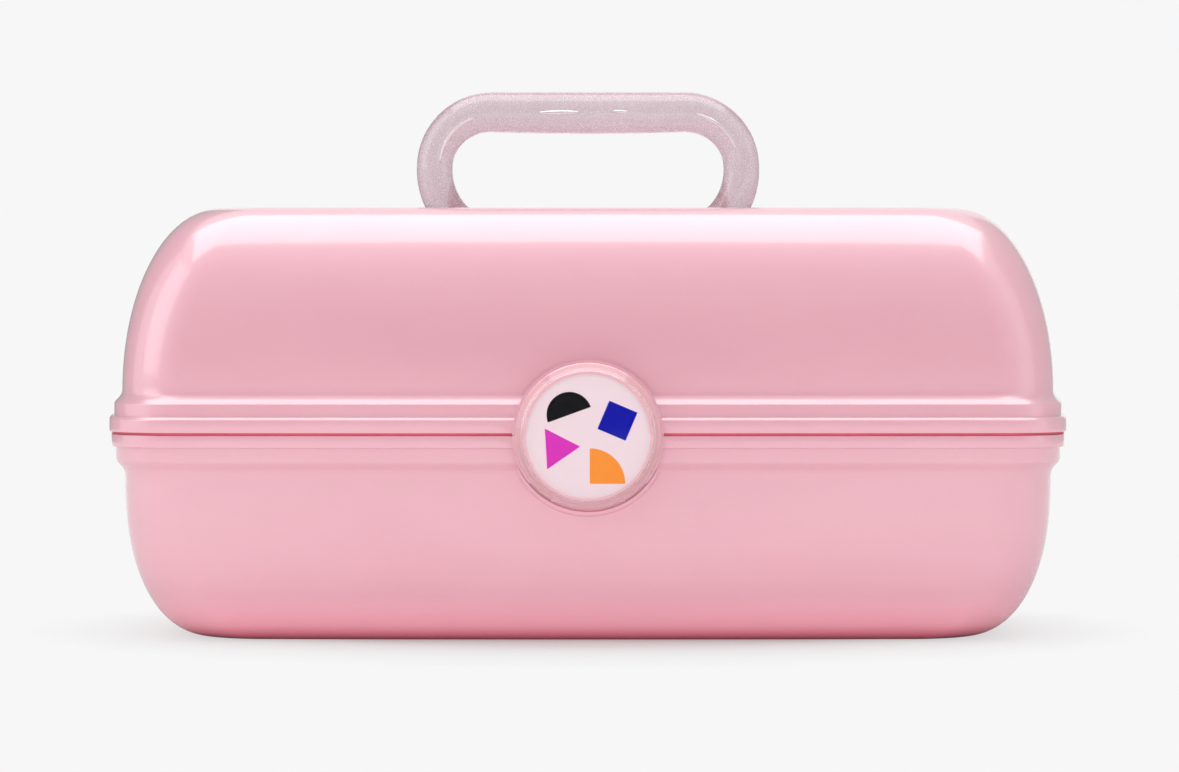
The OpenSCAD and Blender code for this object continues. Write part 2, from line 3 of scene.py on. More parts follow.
import json
import math

import bmesh
import bpy
from bpy.props import FloatProperty, FloatVectorProperty, PointerProperty
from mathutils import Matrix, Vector


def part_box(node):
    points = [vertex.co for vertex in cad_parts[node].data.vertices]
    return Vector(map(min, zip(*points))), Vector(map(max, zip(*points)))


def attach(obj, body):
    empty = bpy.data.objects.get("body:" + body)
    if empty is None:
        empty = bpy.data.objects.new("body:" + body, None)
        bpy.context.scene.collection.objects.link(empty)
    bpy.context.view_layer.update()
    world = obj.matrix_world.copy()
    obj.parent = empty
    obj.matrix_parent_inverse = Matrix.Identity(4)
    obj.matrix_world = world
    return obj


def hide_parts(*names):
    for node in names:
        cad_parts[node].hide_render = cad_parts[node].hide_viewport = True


bl_info = {
    "name": "Vanity Case",
    "version": (1, 0, 0),
    "blender": (4, 5, 0),
    "location": "View3D > Sidebar > Vanity Case",
    "description": "Builds the shells, handle, latch, mirror and tray of a moulded vanity case",
    "category": "Add Mesh",
}

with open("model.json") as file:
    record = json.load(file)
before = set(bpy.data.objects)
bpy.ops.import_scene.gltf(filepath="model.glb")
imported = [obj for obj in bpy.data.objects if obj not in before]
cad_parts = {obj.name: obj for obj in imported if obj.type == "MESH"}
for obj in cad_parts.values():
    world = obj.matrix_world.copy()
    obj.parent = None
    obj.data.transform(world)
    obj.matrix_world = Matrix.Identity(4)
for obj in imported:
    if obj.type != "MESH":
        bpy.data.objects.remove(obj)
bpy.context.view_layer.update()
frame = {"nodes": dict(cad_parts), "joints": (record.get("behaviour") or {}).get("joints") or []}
pivots = {joint["name"]: joint["pos_m"] for joint in frame["joints"]}
mm = 0.001
COVER_FRONT = 7.5  # millimetres from the latch's back to the front of its cover
HOOK = 17.3 * mm  # underside of the latch's hook, above the parting line
KNUCKLE = 4 * mm  # radius of the hinges' knuckles
BOSS = 4.6 * mm  # radius of the arms' bosses, and of the ears that the tray hangs on
AIR = 0.3 * mm  # between a moving piece and the ear, rib or boss beside it


def size_of(node, axis):
    low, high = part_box(node)
    return high[axis] - low[axis]


# ---------------------------------------------------------------- sizes and colours


def length(name, description, default, **limits):
    return FloatProperty(name=name, description=description, default=default, unit="LENGTH", precision=4, **limits)


def colour(name, description, default):
    return FloatVectorProperty(
        name=name, description=description, default=default, size=3, min=0.0, max=1.0, subtype="COLOR"
    )


class CaseSizes(bpy.types.PropertyGroup):
    width: length("Width", "Width over the rim", size_of("lid_shell", 0))
    depth: length("Depth", "Depth over the rim", 168 * mm)
    height: length("Height", "Height of the closed case without its handle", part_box("lid_shell")[1].z)
    parting: length("Parting height", "Height of the line between base and lid", pivots["lid_hinge"][2])
    corner_radius: length("Corner radius", "Plan radius of the rim at the corners", 20 * mm)
    end_bulge: length("End bulge", "How far the ends bulge beyond their corners", 7 * mm)
    front_bulge: length("Front bulge", "How far front and back bulge beyond their corners", 2.5 * mm)
    wall: length("Wall", "Wall of both shells", 2.2 * mm)
    gap: length("Gap", "Gap between lid and base at the parting line", 0.12 * mm)
    groove: length("Groove", "Height of the shadow groove in the lid's lower edge", 0.8 * mm)


class HandleSizes(bpy.types.PropertyGroup):
    width: length("Width", "Width of the handle over its bends", size_of("handle", 0))
    bend_radius: length("Bend radius", "Radius of the upper bends", 20.2 * mm)
    leg_radius: length("Leg radius", "Radius of the legs, which lean inwards", 24 * mm)
    foot_radius: length("Foot radius", "Radius of the feet that turn in to the journals", 12 * mm)
    lean: FloatProperty(
        name="Lean", description="How far the legs turn before the feet", default=math.radians(42), subtype="ANGLE"
    )
    leg: length("Leg", "Radius of the legs' section", 6.3 * mm)
    grip: length("Grip", "Radius of the grip at its middle", 7.3 * mm)
    journal: length("Journal", "Radius of the journals", 3.5 * mm)


class LatchSizes(bpy.types.PropertyGroup):
    cover: length("Cover", "Diameter of the clear cover", size_of("latch_cover", 0))
    disc: length("Disc", "Diameter of the printed disc", size_of("latch_disc", 0))
    seat: length("Seat", "Radius of the round seat behind the latch", 25.4 * mm)


class CaseColours(bpy.types.PropertyGroup):
    shell: colour("Shell", "Pearl pink of both shells", (0.78, 0.40, 0.473))
    shell_deep: colour("Shell streaks", "Deeper pink in the pearl's flow lines", (0.75, 0.36, 0.44))
    tray: colour("Tray", "Softer pink of the tray and its arms", (0.80, 0.40, 0.49))
    handle: colour("Handle", "Tint of the glitter plastic", (0.82, 0.685, 0.74))
    air: colour("Trapped air", "Silvery look of the air trapped in the handle", (0.93, 0.88, 0.90))
    cover: colour("Cover", "Tint of the latch's clear cover", (1.0, 0.985, 0.99))
    rim: colour("Cover's rim", "Faint pink of the cover's sloping rim", (1.0, 0.965, 0.975))
    # Painted light: the base is painted a brighter pink low down and a warm deep pink just above its foot, in place of
    # light bounced up from the floor.
    painted_low_light: colour("Shell, low down", "Brighter pink where the base curves in to its foot", (1.0, 0.46, 0.55))
    painted_foot_bounce: colour("Shell, foot", "Warm deep pink just above the foot", (1.0, 0.25, 0.36))
    latch: colour("Latch", "Paler pink of the latch's body, which shows under the cover", (1.0, 0.50, 0.56))
    disc: colour("Disc", "Pearl white of the latch's disc", (0.89, 0.735, 0.78))
    black: colour("Black print", "First colour on the disc", (0.001, 0.001, 0.002))
    blue: colour("Blue print", "Second colour on the disc", (0.001, 0.003, 0.36))
    magenta: colour("Magenta print", "Third colour on the disc", (0.66, 0.028, 0.47))
    orange: colour("Orange print", "Fourth colour on the disc", (0.95, 0.29, 0.035))
    steel: colour("Steel", "Pins and rivets", (0.62, 0.62, 0.64))
    background: colour("Background", "Floor and backdrop as the camera sees them", (0.93, 0.93, 0.93))


# ---------------------------------------------------------------- meshes


def plan_ring(case, inset, z, radius, corner_steps=12, front_steps=26, side_steps=14):
    """One ring of the case: its plan, drawn in from the rim by inset, whose sides bulge between the corners."""
    a = case.width / 2 - inset - case.end_bulge
    b = case.depth / 2 - inset - case.front_bulge
    cx, cy = a - radius, b - radius
    quarter = []
    for i in range(side_steps // 2):
        quarter.append((a, cy * 2 * i / side_steps))
    for i in range(corner_steps + 1):
        t = math.pi / 2 * i / corner_steps
        quarter.append((cx + radius * math.cos(t), cy + radius * math.sin(t)))
    for i in range(1, front_steps // 2 + 1):
        quarter.append((cx * (1 - 2 * i / front_steps), b))
    outline = quarter[:-1]
    outline += [(-x, y) for x, y in reversed(quarter[1:])]
    outline += [(-x, -y) for x, y in quarter[:-1]]
    outline += [(x, -y) for x, y in reversed(quarter[1:])]
    return [
        (x * (1 + case.end_bulge / a * (1 - (y / b) ** 2)), y * (1 + case.front_bulge / b * (1 - (x / a) ** 2)), z)
        for x, y in outline
    ]


def corner_at(case, inset):
    return case.corner_radius - inset / 6


def eased(points, radii, steps=5):
    """A polyline whose inner points are rounded, each by its own radius."""
    out = [points[0]]
    for before, here, after, radius in zip(points, points[1:], points[2:], radii):
        here = Vector(here)
        arms = [Vector(before) - here, Vector(after) - here]
        cut = min([radius] + [arm.length * 0.45 for arm in arms])
        if cut <= 1e-7:
            out.append(tuple(here))
            continue
        start, end = (here + arm.normalized() * cut for arm in arms)
        for i in range(steps + 1):
            t = i / steps
            out.append(tuple(start * (1 - t) ** 2 + here * 2 * t * (1 - t) + end * t * t))
    out.append(points[-1])
    return out


def skin(bm, rings):
    """Skins a stack of rings with quads and closes its ends."""
    rows = [[bm.verts.new(p) for p in ring] for ring in rings]
    n = len(rows[0])
    for low, high in zip(rows, rows[1:]):
        for i in range(n):
            j = (i + 1) % n
            bm.faces.new((low[i], low[j], high[j], high[i]))
    bm.faces.new(list(reversed(rows[0])))
    bm.faces.new(rows[-1])


def turned(bm, profile, place, segments=96):
    """Turns a profile of (radius, height) about the height's axis; place maps (x, y, height) into the case."""
    rows = []
    for r, h in profile:
        if r < 1e-7:
            rows.append([bm.verts.new(place(0, 0, h))])
        else:
            angles = (math.tau * i / segments for i in range(segments))
            rows.append([bm.verts.new(place(r * math.cos(a), r * math.sin(a), h)) for a in angles])
    for low, high in zip(rows, rows[1:]):
        for i in range(segments):
            j = (i + 1) % segments
            corners = [low[i % len(low)], low[j % len(low)], high[j % len(high)], high[i % len(high)]]
            unique = list(dict.fromkeys(corners))
            if len(unique) > 2:
                bm.faces.new(unique)


def prism(bm, outline, place, low, high, bevel=0.0):
    """A prism from low to high over a closed outline; place maps (u, v, height). Its end edges are beveled."""
    first = [bm.verts.new(place(u, v, low)) for u, v in outline]
    second = [bm.verts.new(place(u, v, high)) for u, v in outline]
    n = len(outline)
    ends = [bm.faces.new(list(reversed(first))), bm.faces.new(second)]
    for i in range(n):
        j = (i + 1) % n
        bm.faces.new((first[i], first[j], second[j], second[i]))
    if bevel:
        edges = {e for f in ends for e in f.edges}
        bmesh.ops.bevel(bm, geom=list(edges), offset=bevel, segments=3, profile=0.5, affect="EDGES")


def along_x(u, v, h):
    """An outline in y and z, drawn out along x."""
    return (h, u, v)


def along_y(u, v, h):
    """An outline in x and z, drawn out along y."""
    return (u, h, v)


def arc(centre, radius, start, end, steps):
    """Points of an arc, angles in degrees."""
    return [
        (centre[0] + radius * math.cos(a), centre[1] + radius * math.sin(a))
        for a in (math.radians(start + (end - start) * i / steps) for i in range(steps + 1))
    ]


def rounded_outline(half, front, rear, front_r, rear_r, steps=10):
    """A rectangle from x -half to half, with its own corner radius at each end."""
    return (
        arc((half - front_r, front + front_r), front_r, -90, 0, steps)
        + arc((half - rear_r, rear - rear_r), rear_r, 0, 90, steps)
        + arc((rear_r - half, rear - rear_r), rear_r, 90, 180, steps)
        + arc((front_r - half, front + front_r), front_r, 180, 270, steps)
    )


def rectangle(left, low, right, high):
    return [(left, low), (right, low), (right, high), (left, high)]


def hanging_plate(pivot, half, top):
    """An ear that hangs from a height down round its pivot, as y and z."""
    return arc((pivot.y, pivot.z), half, 180, 360, 24) + [(pivot.y + half, top), (pivot.y - half, top)]


def shaded(bm, sharp=34):
    """Smooth faces, with the edges sharper than an angle in degrees kept crisp."""
    bmesh.ops.recalc_face_normals(bm, faces=bm.faces)
    limit = math.radians(sharp)
    for face in bm.faces:
        face.smooth = True
    for edge in bm.edges:
        edge.smooth = len(edge.link_faces) == 2 and edge.calc_face_angle(0) < limit


def baked(name, bm):
    """The finished mesh of a form."""
    mesh = bpy.data.meshes.new(name)
    bm.to_mesh(mesh)
    bm.free()
    return mesh


def piece(name, bm, materials, body, replaces=(), turn_normals=True):
    """Makes the object, gives it its materials and hangs it on its body."""
    if turn_normals:
        shaded(bm)
    mesh = baked(name, bm)
    made = bpy.data.objects.new(name, mesh)
    bpy.context.scene.collection.objects.link(made)
    for material in materials:
        mesh.materials.append(material)
    if body:
        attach(made, body)
    if replaces:
        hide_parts(*replaces)
    return made


def mark(bm, index, inside):
    """Gives the faces whose corners all pass a test the material with that index."""
    for face in bm.faces:
        if all(inside(v.co) for v in face.verts):
            face.material_index = index


def combined(target, bm, how):
    """Joins a closed form to the target, or cuts it out, and keeps the result as the target's mesh."""
    bmesh.ops.recalc_face_normals(bm, faces=bm.faces)
    mesh = baked("cutter", bm)
    tool = bpy.data.objects.new("cutter", mesh)
    bpy.context.scene.collection.objects.link(tool)
    step = target.modifiers.new("Form", "BOOLEAN")
    step.operation = how
    step.solver = "EXACT"
    step.object = tool
    shaped = bpy.data.meshes.new_from_object(target.evaluated_get(bpy.context.evaluated_depsgraph_get()))
    target.modifiers.clear()
    bpy.data.meshes.remove(mesh)
    old = target.data
    target.data = shaped
    shaped.name = target.name
    bpy.data.meshes.remove(old)


# ---------------------------------------------------------------- shells

# Sections of both shells from the wall's foot round the rim to its inside, in millimetres:
# inset from the rim's outline, height above the parting line, and how softly that corner is rounded.
# The height "gap" is that shell's own side of the gap, and "groove" the top of the shadow groove.
LID_BANDS = [
    (4.2, 14.3, 0), (4.0, 13.3, 0.5), (3.2, 12.0, 0.8), (1.6, 10.3, 0.3), (1.6, 6.0, 0.2), (0.85, 5.95, 0.2),
    (0.05, 5.1, 0.25), (0, "groove", 0.12), (1.0, "groove", 0.1), (1.0, "gap", 0.05), (2.8, "gap", 0.3),
    (2.8, 5.3, 1.0), (6.4, 14.3, 0),
]
BASE_BANDS = [
    (5.0, -15.0, 0), (4.6, -12.2, 1.6), (2.0, -9.2, 0.8), (2.0, -4.4, 0.25), (0.7, -4.4, 0.5),
    (0.7, "gap", 0.3), (3.3, "gap", 0.1), (3.3, 2.0, 0.4), (4.6, 2.0, 0.4), (4.6, -7.4, 1.0), (7.2, -15.0, 0),
]
LID_ROUND = 32 * mm  # how far the lid's wall curves in on its way to the top
BASE_ROUND = 30.6 * mm
BASE_POWER = 2.3  # superellipse exponent of the base's curve
FOOT = (43.6 * mm, 0.8 * mm)  # inner edge of the standing band, and the recess inside it


def curve_rings(case, start, reach, rise, power, inner, steps):
    """Rings of a wall's curve, from its foot at start (inset, height) in to the top or bottom, inner inside it."""
    rings = []
    for i in range(steps + 1):
        t = math.pi / 2 * i / steps
        inset = start[0] + reach - (reach - inner) * max(math.cos(t), 0) ** (2 / power)
        height = start[1] + math.copysign(abs(rise) - inner, rise) * math.sin(t) ** (2 / power)
        rings.append((inset, height, corner_at(case, inset - inner) - inner))
    return rings


def shell_section(case, bands, reach, end, power):
    """Outer curve from its far end, the bands, then the inner curve: each ring as inset, height and radius."""
    rise = end - bands[0][1] * mm
    named = {"gap": math.copysign(case.gap / 2, rise), "groove": case.groove}
    points = [(inset * mm, named[height] if height in named else height * mm) for inset, height, _ in bands]
    radii = [soft * mm for _, _, soft in bands[1:-1]]
    outer = curve_rings(case, points[0], reach, rise, power, 0, 44)
    inner = curve_rings(case, points[0], reach, rise, power, case.wall, 26)
    rim = [(inset, height, corner_at(case, inset)) for inset, height in eased(points, radii)[1:-1]]
    return outer[::-1] + rim + inner


def shell_form(case, section):
    """The shell as one skin."""
    bm = bmesh.new()
    skin(bm, [plan_ring(case, inset, case.parting + height, radius) for inset, height, radius in section])
    return bm


def pocket_sizes(handle):
    """Half width, front, rear, floor and the pivot's place of the pocket that the handle folds into."""
    pivot = Vector(pivots["handle_pivot"])
    rise = handle.bend_radius + handle_drop(handle)
    return {
        "half": handle.width / 2 + 1.3 * mm,
        "front": pivot.y - handle.leg - 2 * mm,
        "rear": pivot.y + rise + handle.grip + 1.3 * mm,
        "floor": pivot.z - handle.grip - 0.8 * mm,
        "pivot": pivot,
    }


def pocket_rings(pocket, levels):
    """The pocket's outline at several levels, each given as growth outwards and height."""
    return [
        [
            (x, y, z)
            for x, y in rounded_outline(
                pocket["half"] + grow, pocket["front"] - grow, pocket["rear"] + grow, 7 * mm + grow, 26 * mm + grow
            )
        ]
        for grow, z in levels
    ]


def quarter_round(grow, z, radius, outward, steps=6):
    """Levels of a rounded edge: out at the pocket's mouth, or in at its floor."""
    levels = []
    for i in range(steps + 1):
        t = math.pi / 2 * i / steps
        if outward:
            levels.append((grow + radius * (1 - math.cos(t)), z - radius + radius * math.sin(t)))
        else:
            levels.append((grow - radius * (1 - math.sin(t)), z + radius * (1 - math.cos(t))))
    return levels


def seat_outline(case, latch, low, high, steps=40):
    """The part of the round seat between two heights, as x and z."""
    turn = [math.asin(max(-1, min(1, (h - case.parting) / latch.seat))) for h in (low, high)]
    right = [
        (latch.seat * math.cos(a), case.parting + latch.seat * math.sin(a))
        for a in (turn[0] + (turn[1] - turn[0]) * i / steps for i in range(steps + 1))
    ]
    outline = right + [(-x, z) for x, z in reversed(right)]
    apart = [(Vector(p) - Vector(q)).length > 1e-7 for p, q in zip(outline[1:], outline)]
    return outline[:1] + [p for p, keep in zip(outline[1:], apart) if keep]


def latch_back():
    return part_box("latch_cover")[0].y + COVER_FRONT * mm


def seat_face():
    return latch_back() + 0.5 * mm


def seat_block(case, latch, low, high, back, bevel=0.45 * mm):
    """A slice of the round seat that the latch closes on."""
    bm = bmesh.new()
    face = seat_face()
    prism(bm, seat_outline(case, latch, low, high), along_y, back, face)
    front = [f for f in bm.faces if all(abs(v.co.y - face) < 1e-7 for v in f.verts)]
    round_edge = [e for f in front for e in f.edges if e.calc_length() < 3 * mm]
    bmesh.ops.bevel(bm, geom=round_edge, offset=bevel, segments=4, profile=0.5, affect="EDGES")
    return bm


def knuckle(bm, x, width, outline):
    prism(bm, outline, along_x, x - width / 2, x + width / 2, bevel=0.35 * mm)


class CASE_OT_base(bpy.types.Operator):
    """Builds the base: its bulging shell, the round seat's lower half, hinge knuckles, latch ears and arm bosses"""

    bl_idname = "case.base"
    bl_label = "Base"

    def execute(self, context):
        case, latch = context.scene.case_sizes, context.scene.latch_sizes
        section = shell_section(case, BASE_BANDS, BASE_ROUND, -case.parting, BASE_POWER)
        floor = section[0][1]
        foot = [
            (FOOT[0] + edge, floor + rise, corner_at(case, FOOT[0]))
            for edge, rise in ((0.5 * mm, FOOT[1]), (0.3 * mm, FOOT[1] / 2), (0, 0.1 * mm), (-0.3 * mm, 0))
        ]
        shell = shell_form(case, foot + section)
        made = piece("base_pearl", shell, [material("Pearl pink")], "base", ["base_shell"])

        wall_y = 5 * mm - case.depth / 2
        pin = Vector(pivots["latch_pivot"])
        seat_low = pin.z + 4 * mm
        combined(made, seat_block(case, latch, seat_low, case.parting - case.gap / 2, wall_y + case.wall / 2), "UNION")

        extra = bmesh.new()
        self.ring(extra, case, latch, wall_y + case.wall / 2)
        hinge = Vector(pivots["lid_hinge"])
        root, foot_y = case.depth / 2 - 3.95 * mm, case.depth / 2 - 2 * mm
        barrel = [(root, hinge.z - case.gap / 2)] + arc((hinge.y, hinge.z), KNUCKLE, 182, -90, 28)
        barrel += [(foot_y, hinge.z - 9.2 * mm), (root, hinge.z - 9.2 * mm)]
        for node in ("hinge_pin_left", "hinge_pin_right"):
            low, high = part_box(node)
            width = (high.x - low.x) * 0.3 - 0.4 * mm
            for x in (low.x + width / 2, high.x - width / 2):
                knuckle(extra, x, width, barrel)
        ear = arc((pin.y, pin.z), 2.3 * mm, 90, 270, 14)
        ear += [(wall_y + case.wall / 2, pin.z - 2.3 * mm), (wall_y + case.wall / 2, pin.z + 2.3 * mm)]
        for side in (-1, 1):
            knuckle(extra, side * 9.9 * mm, 5 * mm, ear)
        self.arm_bosses(extra)
        add_islands(made, extra)
        return {"FINISHED"}

    def ring(self, bm, case, latch, root):
        """The low ring that carries the seat's outline on round the latch's lower half."""
        inner, face = latch.seat + 0.2 * mm, root - case.wall / 2 - 1.2 * mm
        profile = eased(
            [(inner, root), (inner, face), (inner + 1.4 * mm, face + 0.4 * mm), (inner + 2.2 * mm, root)],
            [0.5 * mm, 0.6 * mm],
        )
        reach, steps = math.asin(9.2 * mm / inner), 72
        rings = []
        for i in range(steps + 1):
            a = -reach - (math.pi - 2 * reach) * i / steps
            rings.append([(r * math.cos(a), y, case.parting + r * math.sin(a)) for r, y in profile])
        skin(bm, rings)

    def arm_bosses(self, bm):
        for name in ("arm_left", "arm_right"):
            low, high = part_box(name)
            side = math.copysign(1, low.x + high.x)
            start, pivot = max(abs(low.x), abs(high.x)) + AIR, pivots[name + "_pivot"]
            circle = arc((pivot[1], pivot[2]), BOSS, 0, 360, 40)[:-1]
            prism(bm, circle, along_x, side * start, side * (start + 8 * mm), bevel=0.3 * mm)


def add_islands(target, bm):
    """Joins loose solids to a piece's mesh, with the piece's shading rule."""
    shaped = bmesh.new()
    shaped.from_mesh(target.data)
    shaded(shaped)
    shaded(bm)
    loose = baked("islands", bm)
    shaped.from_mesh(loose)
    shaped.to_mesh(target.data)
    shaped.free()
    bpy.data.meshes.remove(loose)


class CASE_OT_lid(bpy.types.Operator):
    """Builds the lid: its bulging shell with the handle's pocket, boss, seat, knuckles and the ears inside it"""

    bl_idname = "case.lid"
    bl_label = "Lid"

    def execute(self, context):
        case, handle, latch = context.scene.case_sizes, context.scene.handle_sizes, context.scene.latch_sizes
        shell = shell_form(case, shell_section(case, LID_BANDS, LID_ROUND, case.height - case.parting, 2))
        low, high = case.parting + case.gap * 0.75, case.parting + case.groove + 0.02 * mm
        # The faces inside the shadow groove get painted shade, a deep red darker than the shell.
        mark(shell, 1, lambda point: low < point.z < high)  # inside the shadow groove
        finish = [material("Pearl pink"), material("Parting pink")]
        made = piece("lid_pearl", shell, finish, "lid", ["lid_shell"])

        pocket = pocket_sizes(handle)
        under = pocket["floor"] - case.wall
        tub = bmesh.new()
        levels = quarter_round(case.wall, under, 2.5 * mm, False) + [(case.wall, case.height - case.wall / 2)]
        skin(tub, pocket_rings(pocket, levels))
        combined(made, tub, "UNION")
        parting, front = case.parting, -case.depth / 2
        # The seat's upper half: one slice back to the rim, and one back to the wall above the rim.
        for start, end, back in ((case.gap / 2, 5.9 * mm, 2.5 * mm), (5.3 * mm, latch.seat, 5.3 * mm)):
            combined(made, seat_block(case, latch, parting + start, parting + end, front + back), "UNION")
        cut = bmesh.new()
        levels = quarter_round(0, pocket["floor"], 2 * mm, False)
        levels += quarter_round(0, case.height, 1.2 * mm, True) + [(1.2 * mm, case.height + 3 * mm)]
        skin(cut, pocket_rings(pocket, levels))
        combined(made, cut, "DIFFERENCE")
        groove = bmesh.new()
        hook = parting + HOOK
        slot = rectangle(-7 * mm, hook - 0.3 * mm, 7 * mm, hook + 1.9 * mm)
        prism(groove, slot, along_y, seat_face() - 1 * mm, seat_face() + 1.2 * mm)
        combined(made, groove, "DIFFERENCE")

        extra = bmesh.new()
        self.boss(extra, case, handle, pocket)
        self.knuckles(extra, case)
        self.tray_ears(extra)
        self.mirror_ears(extra, case)
        add_islands(made, extra)
        return {"FINISHED"}

    def boss(self, bm, case, handle, pocket):
        """The boss between the handle's feet, which its two journals turn in."""
        pivot, foot = pocket["pivot"], pocket["floor"] - case.wall / 2
        front, shelf = pocket["front"] - case.wall / 2, handle.leg - 1.5 * mm
        lean = math.degrees(math.asin(shelf / handle.leg))
        outline = [(front, foot), (pivot.y + handle.leg, foot)]
        outline += arc((pivot.y, pivot.z), handle.leg, 0, 180 - lean, 40) + [(front, pivot.z + shelf)]
        prism(bm, outline, along_x, -boss_half(handle), boss_half(handle), bevel=0.4 * mm)

    def knuckles(self, bm, case):
        hinge = Vector(pivots["lid_hinge"])
        root, top = case.depth / 2 - 2.4 * mm, hinge.z + 9.6 * mm
        outline = [(root, hinge.z + case.gap / 2)] + arc((hinge.y, hinge.z), KNUCKLE, 178, 450, 28)
        outline += [(case.depth / 2 - 1.6 * mm, top), (root, top)]
        for node in ("hinge_pin_left", "hinge_pin_right"):
            low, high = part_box(node)
            knuckle(bm, (low.x + high.x) / 2, (high.x - low.x) * 0.4, outline)

    def tray_ears(self, bm):
        """Plates inside the lid's ends, which the tray hangs on."""
        pivot = Vector(pivots["tray_pivot"])
        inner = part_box("arm_right")[0].x
        top = pivot.z + 14 * mm
        plate = hanging_plate(pivot, BOSS, top)
        block = rectangle(pivot.y - BOSS, top - 7 * mm, pivot.y + BOSS, top)
        for side in (-1, 1):
            prism(bm, plate, along_x, side * inner, side * (inner + 2.2 * mm), bevel=0.3 * mm)
            prism(bm, block, along_x, side * (inner + 1 * mm), side * (inner + 13.6 * mm))

    def mirror_ears(self, bm, case):
        """Ears that hold the mirror's pins, and the two ribs that it folds up against."""
        pivot = Vector(pivots["mirror_pivot"])
        low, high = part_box("mirror_glass")
        edge = high.x + 4.2 * mm
        top = case.height - case.wall / 2
        plate = hanging_plate(pivot, 4.5 * mm, top)
        rib = rectangle(low.y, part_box("mirror_frame")[1].z + AIR, low.y + 10 * mm, top)
        for side in (-1, 1):
            start = side * (edge + AIR)
            prism(bm, plate, along_x, start, start + side * 3 * mm, bevel=0.3 * mm)
            x = side * (edge - 20 * mm)
            prism(bm, rib, along_x, x - 1 * mm, x + 1 * mm, bevel=0.2 * mm)


# ---------------------------------------------------------------- handle


def handle_drop(handle):
    """How far the upper bends' centres stand above the pivot axis."""
    return handle.leg_radius * math.sin(handle.lean) + handle.foot_radius * (1 - math.sin(handle.lean))


def handle_foot(handle):
    """Where the feet's bends are centred, out from the middle."""
    lean = handle.lean
    outer = handle.width / 2 - handle.leg
    return outer - handle.leg_radius * (1 - math.cos(lean)) - handle.foot_radius * math.cos(lean)


def boss_half(handle):
    return handle_foot(handle) - 1.02 * mm


GRIP_SHARE = 0.72  # how much of the grip's extra thickness the bends have taken on where they meet it


def bend_swell(share, swell):
    """Extra radius of the bar, from none at the leg (share 0) to all of it at the grip (share 1)."""
    share = max(0.0, min(1.0, share))
    return swell * share * share * (3 - 2 * share)


def handle_path(handle):
    """Right half of the handle as (place, direction, radius), from the grip's middle to the journal's end.

    The grip's top is level, so all that it gains in thickness, from the bends on, hangs below.
    """
    bend_x = handle.width / 2 - handle.leg - handle.bend_radius
    drop = handle_drop(handle)
    top = handle.bend_radius + drop + handle.grip
    outer = handle.width / 2 - handle.leg
    foot = Vector((handle_foot(handle), handle.foot_radius))
    lift = handle.grip - handle.leg
    path, steps = [], 24
    for i in range(steps):
        x = bend_x * i / steps
        radius = handle.leg + lift * (1 - (1 - GRIP_SHARE) * (x / bend_x) ** 2)
        path.append((Vector((x, top - radius)), Vector((1, 0)), radius))

    def bend(centre, radius, start, end, steps, swell=0.0):
        """Turns on round a centre. The bar is thicker by swell where the bend starts, all of it on the inner side."""
        for i in range(steps):
            a = math.radians(start + (end - start) * i / steps)
            more = bend_swell(1 - i / steps, swell)
            way = Vector((math.sin(a), -math.cos(a)))
            path.append((centre + (radius - more) * Vector((math.cos(a), math.sin(a))), way, handle.leg + more))

    lean = math.degrees(handle.lean)
    bend(Vector((bend_x, drop + lift)), handle.bend_radius, 90, 0, 26, lift * GRIP_SHARE)
    bend(Vector((outer - handle.leg_radius, drop)), handle.leg_radius, 0, -lean, 14)
    bend(foot, handle.foot_radius, -lean, -90, 14)
    inward = Vector((-1, 0))
    stub, soft = boss_half(handle) + 0.3 * mm, 0.5 * mm
    path.append((Vector((foot.x, 0)), inward, handle.leg))
    for i in range(6):
        t = math.pi / 2 * i / 5
        path.append((Vector((stub + soft * (1 - math.sin(t)), 0)), inward, handle.leg - soft * (1 - math.cos(t))))
    for back, less in ((0, 0), (10.7 * mm, 0), (11 * mm, 0.3 * mm)):
        path.append((Vector((stub - back, 0)), inward, handle.journal - less))
    return path


def tube(bm, path, place, segments=44):
    """A round bar along a path of (place, direction, radius) in the handle's plane; place maps (x, y, z)."""
    rings = []
    for spot, way, radius in path:
        side = Vector((-way.y, way.x))
        ring = []
        for i in range(segments):
            a = math.tau * i / segments
            out = spot + side * radius * math.cos(a)
            ring.append(place(out.x, radius * math.sin(a), out.y))
        rings.append(ring)
    skin(bm, rings)


def bubble(bm, path, place, segments=14):
    """A slim closed drop in the clear plastic."""
    shape = bmesh.new()
    tube(shape, path, place, segments)
    bmesh.ops.recalc_face_normals(shape, faces=shape.faces)
    for face in shape.faces:
        face.smooth = True
        face.material_index = 1
    mesh = baked("bubble", shape)
    bm.from_mesh(mesh)
    bpy.data.meshes.remove(mesh)


def drop_radius(share, thick):
    """Radius of a drop at a share of its length. Both its ends come to a point."""
    return max(thick * math.sqrt(max(math.sin(math.pi * share), 0)), 0.02 * mm)


def spindle(start, end, thick, steps=16):
    """A slim drop from start to end, both (x, z)."""
    start, end = Vector(start), Vector(end)
    way = (end - start).normalized()
    return [(start.lerp(end, i / steps), way, drop_radius(i / steps, thick)) for i in range(steps + 1)]


